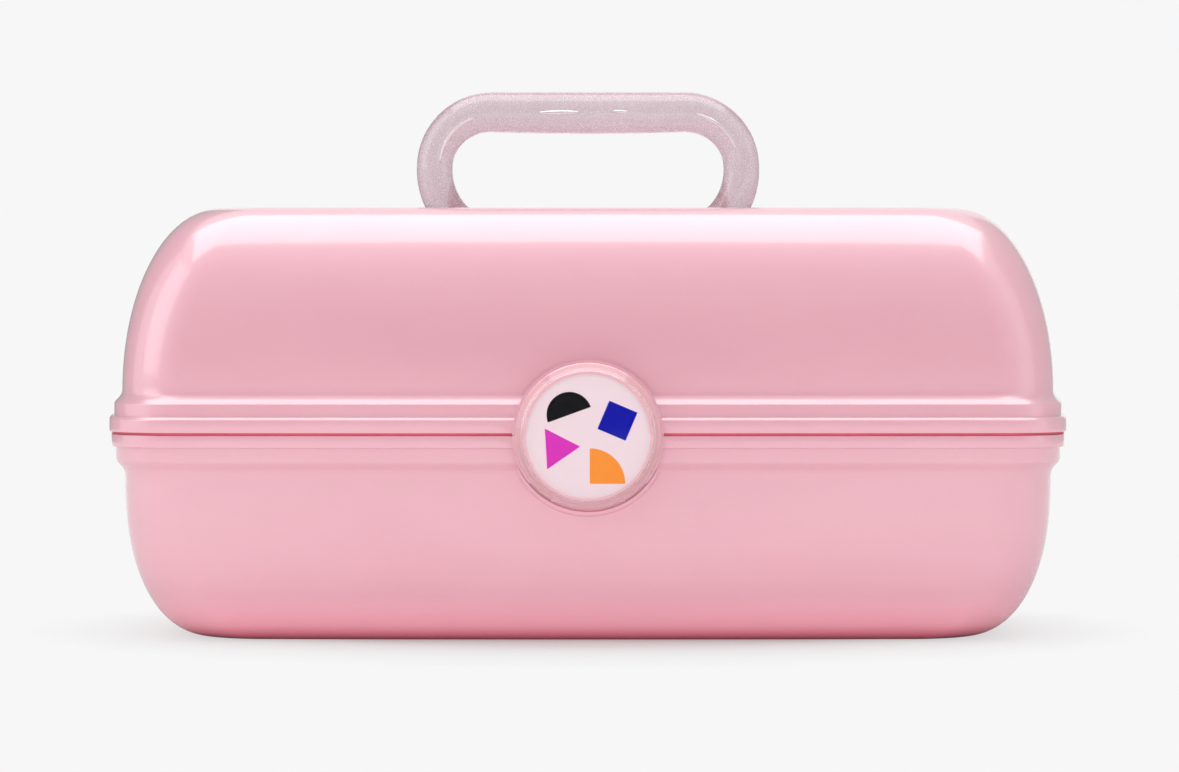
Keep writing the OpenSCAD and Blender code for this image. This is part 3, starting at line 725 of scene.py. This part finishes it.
class CASE_OT_handle(bpy.types.Operator):
    """Builds the handle: one clear bar with glitter and drops of trapped air, whose feet end in two journals"""

    bl_idname = "case.handle"
    bl_label = "Handle"

    def execute(self, context):
        handle = context.scene.handle_sizes
        pivot = Vector(pivots["handle_pivot"])

        def place(x, y, z):
            return (x, pivot.y + y, pivot.z + z)

        right = handle_path(handle)
        left = [(Vector((-p.x, p.y)), Vector((d.x, -d.y)), r) for p, d, r in reversed(right[1:])]
        bm = bmesh.new()
        tube(bm, left + right, place)
        shaded(bm, 40)
        self.trapped_air(bm, handle, place)
        finish = [material("Glitter plastic"), material("Trapped air")]
        piece("handle_glitter", bm, finish, "handle", ["handle"], turn_normals=False)
        return {"FINISHED"}

    def trapped_air(self, bm, handle, place):
        """Slim drops of air that reach the front of the bar: two in the grip and one drawn out along each bend."""
        bend_x = handle.width / 2 - handle.leg - handle.bend_radius
        drop, lift = handle_drop(handle), handle.grip - handle.leg
        level = handle.bend_radius + drop
        for start, end, thick in (((-17.6, -0.2), (-2.6, 0.0), 0.9), ((8.2, 0.3), (14.2, 0.1), 0.6)):
            path = spindle([c * mm for c in start], [c * mm for c in end], thick * mm)
            bubble(bm, path, lambda x, y, z: place(x, y - handle.grip + 0.3 * mm, z + level))

        def along_bend(x, y, z):
            """Sets a drop into the front of a bend, which is thicker towards the grip."""
            across, up = abs(x) - bend_x, z - drop - lift
            more = bend_swell(math.atan2(up, across) / (math.pi / 2), lift * GRIP_SHARE)
            off = math.hypot(across, up) - handle.bend_radius + more
            front = math.sqrt(max((handle.leg + more) ** 2 - off * off, 0))
            return place(x, y - front + 0.2 * mm, z)

        for side, radius, start, end in ((-1, 18.2, 4, 74), (1, 19.0, 18, 80)):
            path, steps = [], 24
            for i in range(steps + 1):
                a = math.radians(start + (end - start) * i / steps)
                spot = Vector((side * (bend_x + radius * mm * math.cos(a)), drop + lift + radius * mm * math.sin(a)))
                way = Vector((-side * math.sin(a), math.cos(a)))
                path.append((spot, way, drop_radius(i / steps, 0.75 * mm)))
            bubble(bm, path, along_bend)


# ---------------------------------------------------------------- latch


def on_latch(case):
    """Maps a turned profile's (x, y, distance from the latch's back) into the closed case."""
    back = latch_back()
    return lambda x, y, h: (x, back - h, case.parting + y)


def beyond(place, radius):
    """A test for points further from the latch's middle than a radius in millimetres."""
    middle = Vector(place(0, 0, 0))
    return lambda point: math.hypot(point.x, point.z - middle.z) > radius * mm


def profile_mm(points, radii):
    """A rounded profile from sizes in millimetres."""
    return eased([(r * mm, h * mm) for r, h in points], [r * mm for r in radii])


class CASE_OT_latch(bpy.types.Operator):
    """Builds the latch: its body with hook and knuckle, the printed disc and the clear domed cover"""

    bl_idname = "case.latch"
    bl_label = "Latch"

    def execute(self, context):
        case, latch = context.scene.case_sizes, context.scene.latch_sizes
        place = on_latch(case)
        cover, disc = latch.cover / 2 / mm, latch.disc / 2 / mm
        self.body(case, place, cover, disc)
        self.disc(context.scene, place, disc)
        self.cover(place, cover, disc)
        return {"FINISHED"}

    def body(self, case, place, cover, disc):
        bm = bmesh.new()
        flange = cover - 0.8
        turned(
            bm,
            profile_mm(
                [(0, 4.4), (disc, 4.4), (disc, 2.3), (flange, 2.3), (flange, 0), (18.6, 0), (18.6, 3), (0, 3)],
                [0.1, 0.1, 0.1, 0.6, 0.4, 0.3],
            ),
            place,
        )
        pin, back = Vector(pivots["latch_pivot"]), latch_back()
        low = case.parting + HOOK
        hook = rectangle(back - 3.2 * mm, low, back + 0.2 * mm, low + 1.6 * mm)
        prism(bm, hook, along_x, -6 * mm, 6 * mm, bevel=0.25 * mm)
        lug = arc((pin.y, pin.z), 2.6 * mm, -90, 90, 20)
        lug += [(back - 0.2 * mm, pin.z + 2.6 * mm), (back - 0.2 * mm, pin.z - 2.6 * mm)]
        prism(bm, lug, along_x, -7 * mm, 7 * mm, bevel=0.3 * mm)
        piece("latch_pearl", bm, [material("Latch pearl")], "latch", ["latch_body"])

    def disc(self, scene, place, disc):
        """A pearl disc with four printed shapes: a half round, a square, a triangle and a quarter round.

        Its pearl white stops short of its edge, which is as pink as the latch's body.
        """
        bm = bmesh.new()
        white = disc - 0.9
        turned(bm, profile_mm([(0, 4.45), (disc, 4.45), (disc, 4.9), (white, 4.9), (0, 4.9)], [0.1, 0.15, 0]), place)
        mark(bm, 5, beyond(place, white - 0.05))
        shapes = (
            arc((-6.2, 7.2), 7.6, 20, 200, 28),
            [(9.8 + 7.2 * math.cos(a), 5.2 + 7.2 * math.sin(a)) for a in (math.radians(22 + 90 * k) for k in range(4))],
            [(-13.6, -11.0), (-2.6, -3.4), (-14.4, 2.6)],
            [(0.6, -15.8)] + arc((0.6, -15.8), 11.8, 0, 90, 18),
        )
        for index, outline in enumerate(shapes, 1):
            before = len(bm.faces)
            outline = [(x * mm, y * mm) for x, y in outline]
            prism(bm, outline, place, 4.85 * mm, 4.95 * mm)
            bm.faces.ensure_lookup_table()
            for face in bm.faces[before:]:
                face.material_index = index
        names = ["Disc pearl", "Black print", "Blue print", "Magenta print", "Orange print", "Latch pearl"]
        piece("latch_print", bm, [material(n) for n in names], "latch", ["latch_disc"])

    def cover(self, place, cover, disc):
        """A low dome over the disc, and a slope round it down to the edge, which catches the light from above."""
        front, dome = COVER_FRONT, 1.0
        slope = [(cover, 2.6), (cover, 3.5), (disc - 0.2, 6.2), (disc - 1.5, front - dome)]
        outer = eased(slope, [0.5, 0.7], 6)[1:]
        flat = outer[-1][0]
        rest = [(flat * (1 - i / 16), front - dome * (1 - i / 16) ** 2) for i in range(1, 17)]
        bore = disc + 0.1
        skirt = [(bore - 0.15, 5.0), (bore, 4.85), (bore, 2.5), (bore + 0.1, 2.4), (cover - 0.2, 2.4), (cover, 2.6)]
        bm = bmesh.new()
        turned(bm, [(r * mm, h * mm) for r, h in [(0, 5.0)] + skirt + outer + rest], place, 128)
        mark(bm, 1, beyond(place, flat - 0.1))
        finish = [material("Clear cover"), material("Clear rim")]
        piece("latch_clear", bm, finish, "latch", ["latch_cover"])


# ---------------------------------------------------------------- pieces that keep their solids


def dress(node, name, width, segments=3, smooth=True):
    """Gives a solid its material, and rounds its edges by a width in millimetres."""
    solid = frame["nodes"][node]
    solid.data.materials.clear()
    solid.data.materials.append(material(name))
    weld = solid.modifiers.new("Weld", "WELD")
    weld.merge_threshold = 0.005 * mm
    soften = solid.modifiers.new("Soften", "BEVEL")
    soften.width = width * mm
    soften.segments = segments
    soften.limit_method = "ANGLE"
    soften.angle_limit = math.radians(40)
    soften.harden_normals = smooth
    for face in solid.data.polygons:
        face.use_smooth = smooth


class CASE_OT_tray(bpy.types.Operator):
    """Dresses the tray, its dividers, the two arms that lift it and their rivets"""

    bl_idname = "case.tray"
    bl_label = "Tray"

    def execute(self, context):
        dress("tray", "Tray pink", 0.35)
        for node in frame["nodes"]:
            if node.startswith("divider_"):
                dress(node, "Clear divider", 0.25, segments=2, smooth=False)
            elif node in ("arm_left", "arm_right"):
                dress(node, "Tray pink", 0.35)
            elif "rivet" in node:
                dress(node, "Brushed steel", 0.2)
        return {"FINISHED"}


class CASE_OT_mirror(bpy.types.Operator):
    """Dresses the flip mirror in the lid"""

    bl_idname = "case.mirror"
    bl_label = "Mirror"

    def execute(self, context):
        dress("mirror_frame", "Tray pink", 0.4)
        dress("mirror_glass", "Silvered glass", 0.3)
        return {"FINISHED"}


class CASE_OT_pins(bpy.types.Operator):
    """Dresses the hinge pins and the latch pin"""

    bl_idname = "case.pins"
    bl_label = "Pins"

    def execute(self, context):
        for node in ("hinge_pin_left", "hinge_pin_right", "latch_pin"):
            dress(node, "Brushed steel", 0.2)
        return {"FINISHED"}


# ---------------------------------------------------------------- materials


def rgba(colour):
    return (*colour, 1.0)


def shade(colour, factor, lift=0.0):
    """A darker or lighter version of a colour."""
    return rgba([min(1.0, c * factor + lift) for c in colour])


def feed(node, key, value):
    """Gives a node's input a plain value, or links the socket that feeds it."""
    if isinstance(value, bpy.types.NodeSocket):
        node.id_data.links.new(value, node.inputs[key])
    else:
        node.inputs[key].default_value = value


def add(tree, kind, inputs=None, **settings):
    """Adds a shader node. Its inputs are plain values or the sockets that feed them."""
    node = tree.nodes.new("ShaderNode" + kind)
    for key, value in settings.items():
        setattr(node, key, value)
    for key, value in (inputs or {}).items():
        feed(node, key, value)
    return node


def effect(name, inputs, outputs):
    """Starts a node group with named inputs (name: default) and outputs (name: kind of socket)."""
    group = bpy.data.node_groups.new(name, "ShaderNodeTree")
    for label, default in inputs.items():
        kind = "NodeSocketFloat" if isinstance(default, (int, float)) else "NodeSocketColor"
        group.interface.new_socket(label, in_out="INPUT", socket_type=kind).default_value = default
    for label, kind in outputs.items():
        group.interface.new_socket(label, in_out="OUTPUT", socket_type="NodeSocket" + kind)
    return group, group.nodes.new("NodeGroupInput").outputs, group.nodes.new("NodeGroupOutput").inputs


def math_node(tree, operation, a, b=0.0, clamp=False):
    return add(tree, "Math", {0: a, 1: b}, operation=operation, use_clamp=clamp).outputs[0]


def times(tree, a, b):
    return math_node(tree, "MULTIPLY", a, b)


def own_place(tree):
    """The point's place in its own object."""
    return add(tree, "TexCoord").outputs["Object"]


def noise(tree, place, scale, detail, **more):
    return add(tree, "TexNoise", {"Vector": place, "Scale": scale, "Detail": detail, **more}).outputs[0]


def mapped(tree, value, low, high, out_low, out_high):
    """A value carried from one span to another, without leaving the second."""
    node = add(
        tree, "MapRange", {"Value": value, "From Min": low, "From Max": high, "To Min": out_low, "To Max": out_high}
    )
    return node.outputs["Result"]


def between(tree, share, first, last):
    """The value at a share of the way from first to last."""
    return mapped(tree, share, 0.0, 1.0, first, last)


def flow_effect():
    """Pearl pigment drawn out along the mould's flow, in slow bands and finer streaks."""
    group, given, out = effect("Pearl flow", {"Scale": 9.0, "Amount": 1.0}, {"Mask": "Float"})
    place = own_place(group)
    drawn = add(group, "Mapping", {"Vector": place, "Scale": (0.55, 1.0, 1.5)}).outputs[0]
    broad = noise(group, drawn, given["Scale"], 3.0, Distortion=1.4)
    streak = noise(group, drawn, times(group, given["Scale"], 9.0), 4.0, Distortion=0.5)
    total = math_node(group, "ADD", broad, times(group, streak, 0.4))
    group.links.new(times(group, mapped(group, total, 0.45, 0.95, 0.0, 1.0), given["Amount"]), out["Mask"])


def mica_effect():
    """Flakes in the plastic, one to a cell: how bright each is, and a normal that leans its own way."""
    group, given, out = effect(
        "Mica flakes", {"Size": 0.4, "Share": 0.3, "Lean": 0.2}, {"Flake": "Float", "Tone": "Float", "Normal": "Vector"}
    )
    place = own_place(group)
    count = math_node(group, "DIVIDE", 1000.0, given["Size"])
    cells = add(group, "TexVoronoi", {"Vector": place, "Scale": count}, feature="F1")
    chance = add(group, "SeparateColor", {"Color": cells.outputs["Color"]})
    inside = mapped(group, cells.outputs["Distance"], 0.34, 0.46, 1.0, 0.0)
    chosen = math_node(group, "LESS_THAN", chance.outputs[0], given["Share"])
    flake = times(group, inside, chosen)
    group.links.new(flake, out["Flake"])
    group.links.new(chance.outputs[1], out["Tone"])
    spread = add(group, "VectorMath", {0: cells.outputs["Color"], 1: (0.5, 0.5, 0.5)}, operation="SUBTRACT").outputs[0]
    lean = times(group, flake, given["Lean"])
    tilt = add(group, "VectorMath", {0: spread, "Scale": lean}, operation="SCALE").outputs[0]
    surface = add(group, "NewGeometry").outputs["Normal"]
    leaning = add(group, "VectorMath", {0: surface, 1: tilt}, operation="ADD").outputs[0]
    group.links.new(add(group, "VectorMath", {0: leaning}, operation="NORMALIZE").outputs[0], out["Normal"])


def grain_effect():
    """The mould's fine orange peel: a height for a bump."""
    group, given, out = effect("Mould grain", {"Scale": 700.0, "Depth": 1.0}, {"Height": "Float"})
    place = own_place(group)
    fine = noise(group, place, given["Scale"], 3.0)
    wide = noise(group, place, times(group, given["Scale"], 0.12), 2.0)
    total = math_node(group, "ADD", fine, times(group, wide, 1.5))
    group.links.new(times(group, total, given["Depth"]), out["Height"])


def handling_effect():
    """Light wear: soft smudges and a few hair scratches, as a mask that dulls the gloss."""
    group, given, out = effect("Handling wear", {"Scale": 22.0, "Smudges": 0.5, "Scratches": 0.3}, {"Wear": "Float"})
    place = own_place(group)
    cloud = noise(group, place, given["Scale"], 6.0, Roughness=0.65)
    total = times(group, mapped(group, cloud, 0.5, 0.75, 0.0, 1.0), given["Smudges"])
    for turn, stretch in ((0.5, (6.0, 160.0, 160.0)), (2.1, (160.0, 160.0, 7.0))):
        drawn = add(group, "Mapping", {"Vector": place, "Rotation": (turn, turn / 2, turn), "Scale": stretch})
        hair = noise(group, drawn.outputs[0], 3.0, 1.0)
        off = math_node(group, "ABSOLUTE", math_node(group, "SUBTRACT", hair, 0.62))
        line = mapped(group, off, 0.0, 0.006, 1.0, 0.0)
        total = math_node(group, "MAXIMUM", total, times(group, line, given["Scratches"]))
    group.links.new(total, out["Wear"])


def use(tree, effect_name, **values):
    """Places a node group in a material with the material's own values."""
    node = tree.nodes.new("ShaderNodeGroup")
    node.node_tree = bpy.data.node_groups[effect_name]
    for key, value in values.items():
        node.inputs[key].default_value = value
    return node.outputs


def mix(tree, share, a, b):
    """Blends two colours, each a tuple or a socket."""
    return add(tree, "Mix", {0: share, 6: a, 7: b}, data_type="RGBA").outputs[2]


def either(tree, share, first, second):
    """Blends two shader nodes."""
    return add(tree, "MixShader", {0: share, 1: first.outputs[0], 2: second.outputs[0]})


def surface(tree, shader, output="Material Output"):
    tree.links.new(shader.outputs[0], tree.nodes[output].inputs["Surface"])


def finish_of(name):
    """The node tree and the principled shader of a new material."""
    made = bpy.data.materials.new(name)
    made.use_nodes = True
    return made.node_tree, made.node_tree.nodes["Principled BSDF"]


def bare(name):
    """A new material that has no shader yet, and its node tree."""
    tree, shader = finish_of(name)
    tree.nodes.remove(shader)
    return material(name), tree


def set_shader(shader, **values):
    """Sets the shader's own inputs. An underscore in a name stands for a space."""
    for key, value in values.items():
        feed(shader, key.replace("_", " "), value)


def bump(tree, shader, height, distance, strength, normal=None):
    """A bump on the shader's normal, its distance in millimetres."""
    node = add(tree, "Bump", {"Height": height, "Distance": distance * mm, "Strength": strength})
    if normal:
        feed(node, "Normal", normal)
    feed(shader, "Normal", node.outputs[0])


def painted_foot_light(tree, body, low, foot):
    """Painted light on the base's outside near the floor: a brighter pink low down and a warm deep pink just above the
    foot, in place of light bounced up into the plastic.
    """
    place = add(tree, "TexCoord")
    height = add(tree, "SeparateXYZ", {0: place.outputs["Object"]}).outputs["Z"]
    facing = add(tree, "SeparateXYZ", {0: place.outputs["Normal"]}).outputs["Z"]
    outside = mapped(tree, facing, -0.25, 0.05, 1.0, 0.0)
    for colour, full, none in ((low, 6 * mm, 17 * mm), (foot, 1.5 * mm, 5.5 * mm)):
        share = times(tree, mapped(tree, height, full, none, 1.0, 0.0), outside)
        body = mix(tree, share, body, rgba(colour))
    return body


def pearl_finish(name, base, deep, roughness, coat, grain, low=None, **own):
    """Pearl plastic: fine mica in a tinted body, under the gloss that the mould leaves."""
    tree, shader = finish_of(name)
    flow = use(tree, "Pearl flow", Scale=9.0, Amount=0.8)["Mask"]
    mica = use(tree, "Mica flakes", Size=0.22, Share=0.5, Lean=0.10)
    body = mix(tree, flow, rgba(base), deep)
    # Painted light near the base's foot, where its two colours are given.
    if low:
        body = painted_foot_light(tree, body, *low)
    share = times(tree, mica["Flake"], between(tree, mica["Tone"], 0.0, 0.45))
    wear = use(tree, "Handling wear", Scale=20.0, Smudges=0.35, Scratches=0.25)["Wear"]
    bump(tree, shader, use(tree, "Mould grain", Scale=grain, Depth=1.0)["Height"], 0.02, 0.35, mica["Normal"])
    set_shader(
        shader,
        Base_Color=mix(tree, share, body, shade(base, 1.12, 0.02)),
        Roughness=between(tree, wear, roughness, roughness + 0.12),
        Coat_Weight=between(tree, wear, coat, coat * 0.7),
        **own,
    )


def painted_groove_shade(colours):
    """Painted shade for the narrow gap between the shells: a deep red, darker than the shell, in place of the shade and
    the pink light that its walls bounce there.
    """
    tree, shader = finish_of("Parting pink")
    # The painted shade: the shell's streak pink, darkened towards deep red.
    deep = [c * share for c, share in zip(colours.shell_deep, (0.98, 0.36, 0.42))]
    flow = use(tree, "Pearl flow", Scale=40.0, Amount=0.6)["Mask"]
    bump(tree, shader, use(tree, "Mould grain", Scale=900.0, Depth=1.0)["Height"], 0.02, 0.4)
    set_shader(shader, Base_Color=mix(tree, flow, rgba(deep), shade(deep, 0.7)), Roughness=0.6, IOR=1.3)


def trapped_air(colours):
    """Air in the handle: its wall mirrors the room, a little unevenly."""
    tree, shader = finish_of("Trapped air")
    flow = use(tree, "Pearl flow", Scale=60.0, Amount=0.6)["Mask"]
    tone, rough = mix(tree, flow, rgba(colours.air), shade(colours.air, 0.9)), between(tree, flow, 0.1, 0.2)
    set_shader(shader, Base_Color=tone, Roughness=rough, Metallic=0.65, IOR=1.4)


def glitter_plastic(colours):
    """Clear plastic full of glitter: each flake has its own brightness, gloss and lean."""
    tree, shader = finish_of("Glitter plastic")
    large = use(tree, "Mica flakes", Size=0.4, Share=0.22, Lean=0.4)
    small = use(tree, "Mica flakes", Size=0.24, Share=0.5, Lean=0.3)
    flow = use(tree, "Pearl flow", Scale=30.0, Amount=1.0)["Mask"]
    tint = colours.handle
    small_tone = mix(tree, small["Tone"], shade(tint, 0.72), shade(tint, 1.1))
    large_tone = mix(tree, large["Tone"], shade(tint, 0.65), (1, 1, 1, 1))
    body = mix(tree, flow, rgba(tint), shade(tint, 0.93))
    body = mix(tree, times(tree, small["Flake"], 0.8), body, small_tone)
    sparkle = math_node(tree, "MAXIMUM", large["Flake"], times(tree, small["Flake"], 0.6))
    set_shader(
        shader,
        Base_Color=mix(tree, large["Flake"], body, large_tone),
        Roughness=between(tree, sparkle, 0.16, 0.38),
        Normal=large["Normal"],
        IOR=1.45,
        Transmission_Weight=0.68,
        Coat_Weight=0.6,
        Coat_Roughness=0.06,
    )


def clear_finish(name, tint, roughness, smudges, index, clear=1.0):
    """Clear plastic that lets the lamps through to what lies behind it. Milky plastic is less than wholly clear."""
    tree, shader = finish_of(name)
    wear = use(tree, "Handling wear", Scale=35.0, Smudges=smudges, Scratches=smudges)["Wear"]
    rough = between(tree, wear, roughness, roughness + 0.1)
    set_shader(shader, Base_Color=rgba(tint), Roughness=rough, IOR=index, Transmission_Weight=clear)
    passing = add(tree, "BsdfTransparent", {"Color": rgba(tint)})
    surface(tree, either(tree, add(tree, "LightPath").outputs["Is Shadow Ray"], shader, passing))


def print_finish(name, ink):
    """A printed film, a little uneven where the ink lies thinner."""
    tree, shader = finish_of(name)
    thin = use(tree, "Pearl flow", Scale=160.0, Amount=0.5)["Mask"]
    bump(tree, shader, use(tree, "Mould grain", Scale=2500.0, Depth=1.0)["Height"], 0.005, 0.4)
    tone, rough = mix(tree, thin, rgba(ink), shade(ink, 1.2)), between(tree, thin, 0.2, 0.26)
    set_shader(shader, Base_Color=tone, Roughness=rough, IOR=1.15)


def brushed_steel(colours):
    """Drawn wire and turned rivet heads: metal with fine lines along the axis."""
    tree, shader = finish_of("Brushed steel")
    place = own_place(tree)
    drawn = add(tree, "Mapping", {"Vector": place, "Scale": (60.0, 4000.0, 4000.0)}).outputs[0]
    lines = noise(tree, drawn, 1.0, 4.0)
    tone = mix(tree, lines, shade(colours.steel, 0.85), shade(colours.steel, 1.15))
    wear = use(tree, "Handling wear", Scale=60.0, Smudges=0.5, Scratches=0.4)["Wear"]
    rough = math_node(tree, "ADD", mapped(tree, lines, 0.3, 0.7, 0.2, 0.34), times(tree, wear, 0.15))
    bump(tree, shader, lines, 0.01, 0.5)
    set_shader(shader, Base_Color=tone, Roughness=rough, Metallic=1.0)


def silvered_glass():
    """The mirror: silver behind glass, with a little dust and the odd fingerprint."""
    tree, shader = finish_of("Silvered glass")
    wear = use(tree, "Handling wear", Scale=26.0, Smudges=0.6, Scratches=0.1)["Wear"]
    tone = mix(tree, wear, (0.88, 0.90, 0.91, 1), (0.82, 0.83, 0.83, 1))
    set_shader(shader, Base_Color=tone, Roughness=between(tree, wear, 0.02, 0.14), Metallic=1.0)


def material(name):
    return bpy.data.materials[name]


class CASE_OT_materials(bpy.types.Operator):
    """Makes the shared surface effects and every material"""

    bl_idname = "case.materials"
    bl_label = "Materials"

    def execute(self, context):
        colours = context.scene.case_colours
        for build in (flow_effect, mica_effect, grain_effect, handling_effect):
            build()
        shell, latch, tray, disc = colours.shell, colours.latch, colours.tray, colours.disc
        # The shells' pink, with painted light near the base's foot.
        pearl_finish(
            "Pearl pink", shell, rgba(colours.shell_deep), 0.36, 1.0, 520.0, (colours.painted_low_light, colours.painted_foot_bounce),
            IOR=1.9, Coat_Roughness=0.11, Coat_IOR=1.8,
        )
        pearl_finish(
            "Latch pearl", latch, shade(latch, 0.95), 0.36, 1.0, 700.0, IOR=1.7, Coat_Roughness=0.12, Coat_IOR=1.6
        )
        pearl_finish("Tray pink", tray, shade(tray, 0.95), 0.44, 0.25, 900.0, IOR=1.5, Coat_Roughness=0.3)
        pearl_finish("Disc pearl", disc, shade(disc, 0.97), 0.5, 0.0, 900.0, IOR=1.4)
        glitter_plastic(colours)
        painted_groove_shade(colours)
        trapped_air(colours)
        clear_finish("Clear cover", colours.cover, 0.03, 0.3, 1.2)
        clear_finish("Clear rim", colours.rim, 0.06, 0.3, 1.6, 0.95)
        clear_finish("Clear divider", (0.97, 0.97, 0.98), 0.08, 0.6, 1.3, 0.7)
        for name in ("black", "blue", "magenta", "orange"):
            print_finish(name.capitalize() + " print", getattr(colours, name))
        brushed_steel(colours)
        silvered_glass()
        return {"FINISHED"}


# ---------------------------------------------------------------- stage


def backdrop_world(colour):
    """Even light for the object, and the backdrop's own white wherever camera, gloss or glass sees past it.

    Gloss that looks out at the front finds the darker end of the room.
    """
    world = bpy.data.worlds.new("Studio")
    bpy.context.scene.world = world
    world.use_nodes = True
    tree = world.node_tree
    seen = tree.nodes["Background"]
    way = add(tree, "SeparateXYZ", {0: add(tree, "TexCoord").outputs["Generated"]}).outputs["Y"]
    path = add(tree, "LightPath")
    gloss = math_node(tree, "SUBTRACT", path.outputs["Is Glossy Ray"], path.outputs["Is Transmission Ray"], clamp=True)
    dim = mapped(tree, way, -0.95, -0.3, 0.08, 1.0)
    set_shader(seen, Color=rgba(colour), Strength=between(tree, gloss, 1.0, dim))
    fill = add(tree, "Background", {"Color": (1, 1, 1, 1), "Strength": 0.60})
    surface(tree, either(tree, looked_at(tree), fill, seen), "World Output")


def looked_at(tree):
    """One where the ray is the camera's, or is seen in gloss or through glass."""
    path = add(tree, "LightPath")
    some = math_node(tree, "MAXIMUM", path.outputs["Is Camera Ray"], path.outputs["Is Glossy Ray"])
    return math_node(tree, "MAXIMUM", some, path.outputs["Is Transmission Ray"])


def floor_material(colour):
    """The backdrop's white, which takes the object's shadow, and close to the case's foot a painted pink bounce of its
    light.

    To bounced light it is a plain pale floor.
    """
    made, tree = bare("Pale floor")
    place = own_place(tree)
    oval = add(tree, "VectorMath", {0: place, 1: (1.0, 1.17, 1.0)}, operation="MULTIPLY").outputs[0]
    away = add(tree, "VectorMath", {0: oval}, operation="LENGTH").outputs["Value"]
    grain = noise(tree, place, 300.0, 3.0)
    gloss = add(tree, "LightPath").outputs["Is Glossy Ray"]
    near, far, most = (between(tree, gloss, *pair) for pair in ((0.095, 0.16), (0.2, 0.8), (0.56, 1.0)))
    share = mapped(tree, away, near, far, most, 0.0)
    # Painted light: the floor close to the case's foot is tinted pink, in place of the pink light the case bounces onto
    # it.
    pink = rgba([c * part for c, part in zip(colour, (1.0, 0.88, 0.89))])
    even = add(tree, "Emission", {"Color": mix(tree, mapped(tree, away, 0.06, 0.112, 1.0, 0.0), rgba(colour), pink)})
    lit = add(tree, "BsdfDiffuse", {"Color": mix(tree, grain, (0.66, 0.66, 0.66, 1), (0.70, 0.70, 0.70, 1))})
    bounce = add(tree, "BsdfDiffuse", {"Color": (0.98, 0.91, 0.92, 1)})
    surface(tree, either(tree, looked_at(tree), bounce, either(tree, share, even, lit)))
    return made


def softbox(name, place, aim, width, height, brightness):
    """A rectangular lamp of a given brightness, which looks at a point."""
    lamp = bpy.data.lights.new(name, "AREA")
    lamp.shape = "RECTANGLE"
    lamp.size, lamp.size_y = width, height
    lamp.energy = brightness * math.pi * width * height
    made = bpy.data.objects.new(name, lamp)
    bpy.context.scene.collection.objects.link(made)
    made.location = place
    made.rotation_euler = (Vector(aim) - Vector(place)).to_track_quat("-Z", "Y").to_euler()
    return made


def card(name, start, end, height, tone):
    """A grey card on edge between two places on the floor. Only gloss sees it, so the case's ends keep their edge."""
    bm = bmesh.new()
    low = [bm.verts.new((*spot, 0.0)) for spot in (start, end)]
    high = [bm.verts.new((*spot, height)) for spot in (end, start)]
    bm.faces.new(low + high)
    made, tree = bare(name)
    surface(tree, add(tree, "Emission", {"Color": (1, 1, 1, 1), "Strength": tone}))
    stands = piece(name, bm, [made], None, turn_normals=False)
    stands.visible_camera = stands.visible_diffuse = stands.visible_shadow = stands.visible_transmission = False
    return stands


class CASE_OT_stage(bpy.types.Operator):
    """Sets the pale floor, the backdrop, the softboxes, the grey cards and the camera"""

    bl_idname = "case.stage"
    bl_label = "Stage"

    def execute(self, context):
        scene = context.scene
        colour = scene.case_colours.background
        backdrop_world(colour)
        bm = bmesh.new()
        bmesh.ops.create_grid(bm, x_segments=1, y_segments=1, size=6.0)
        floor = piece("floor", bm, [floor_material(colour)], None, turn_normals=False)
        lamps = [
            softbox("top_softbox", (0, 0.08, 1.35), (0, 0.08, 0), 1.75, 1.16, 1.85),
            softbox("left_softbox", (-1.32, -0.46, 0.78), (0, 0, 0.1), 0.78, 1.25, 0.9),
            softbox("front_fill", (0, -2.2, 0.21), (0, 0, 0.05), 3.2, 0.4, 4.1),
        ]
        lamps[-1].visible_glossy = lamps[-1].visible_transmission = False
        cards = [
            card("left_card", (-1.256, 0.336), (-0.42, 2.2), 1.5, 0.36),
            card("right_card", (1.256, -0.1), (0.75, 1.9), 1.5, 0.5),
        ]
        lens = bpy.data.cameras.new("camera")
        lens.lens, lens.sensor_width = 138.3, 36.0
        camera = bpy.data.objects.new("camera", lens)
        scene.collection.objects.link(camera)
        camera.location = (0.0005, -1.6, 0.121)
        camera.rotation_euler = (math.radians(90 - 1.26), 0, 0)
        scene.camera = camera
        scene.view_settings.view_transform = "Standard"
        return {"FINISHED"}


# ---------------------------------------------------------------- add-on


class VIEW3D_PT_vanity_case(bpy.types.Panel):
    """Lists the sizes, the colours and the steps that build the case"""

    bl_idname = "VIEW3D_PT_vanity_case"
    bl_label = "Vanity Case"
    bl_space_type = "VIEW_3D"
    bl_region_type = "UI"
    bl_category = "Vanity Case"

    def draw(self, context):
        scene = context.scene
        for group in (scene.case_sizes, scene.handle_sizes, scene.latch_sizes, scene.case_colours):
            box = self.layout.box()
            for key in group.__annotations__:
                box.prop(group, key)
        for step in STEPS:
            self.layout.operator(step.bl_idname)


SETTINGS = {
    "case_sizes": CaseSizes, "handle_sizes": HandleSizes, "latch_sizes": LatchSizes, "case_colours": CaseColours,
}
STEPS = (
    CASE_OT_materials, CASE_OT_base, CASE_OT_lid, CASE_OT_handle, CASE_OT_latch,
    CASE_OT_tray, CASE_OT_mirror, CASE_OT_pins, CASE_OT_stage,
)


def register():
    for kind in (*SETTINGS.values(), *STEPS, VIEW3D_PT_vanity_case):
        bpy.utils.register_class(kind)
    for name, kind in SETTINGS.items():
        setattr(bpy.types.Scene, name, PointerProperty(type=kind))


def unregister():
    for name in SETTINGS:
        delattr(bpy.types.Scene, name)
    for kind in reversed((*SETTINGS.values(), *STEPS, VIEW3D_PT_vanity_case)):
        bpy.utils.unregister_class(kind)


def main():
    register()
    bpy.ops.case.materials()
    bpy.ops.case.base()
    bpy.ops.case.lid()
    bpy.ops.case.handle()
    bpy.ops.case.latch()
    bpy.ops.case.tray()
    bpy.ops.case.mirror()
    bpy.ops.case.pins()
    bpy.ops.case.stage()


if __name__ == "__main__":
    main()
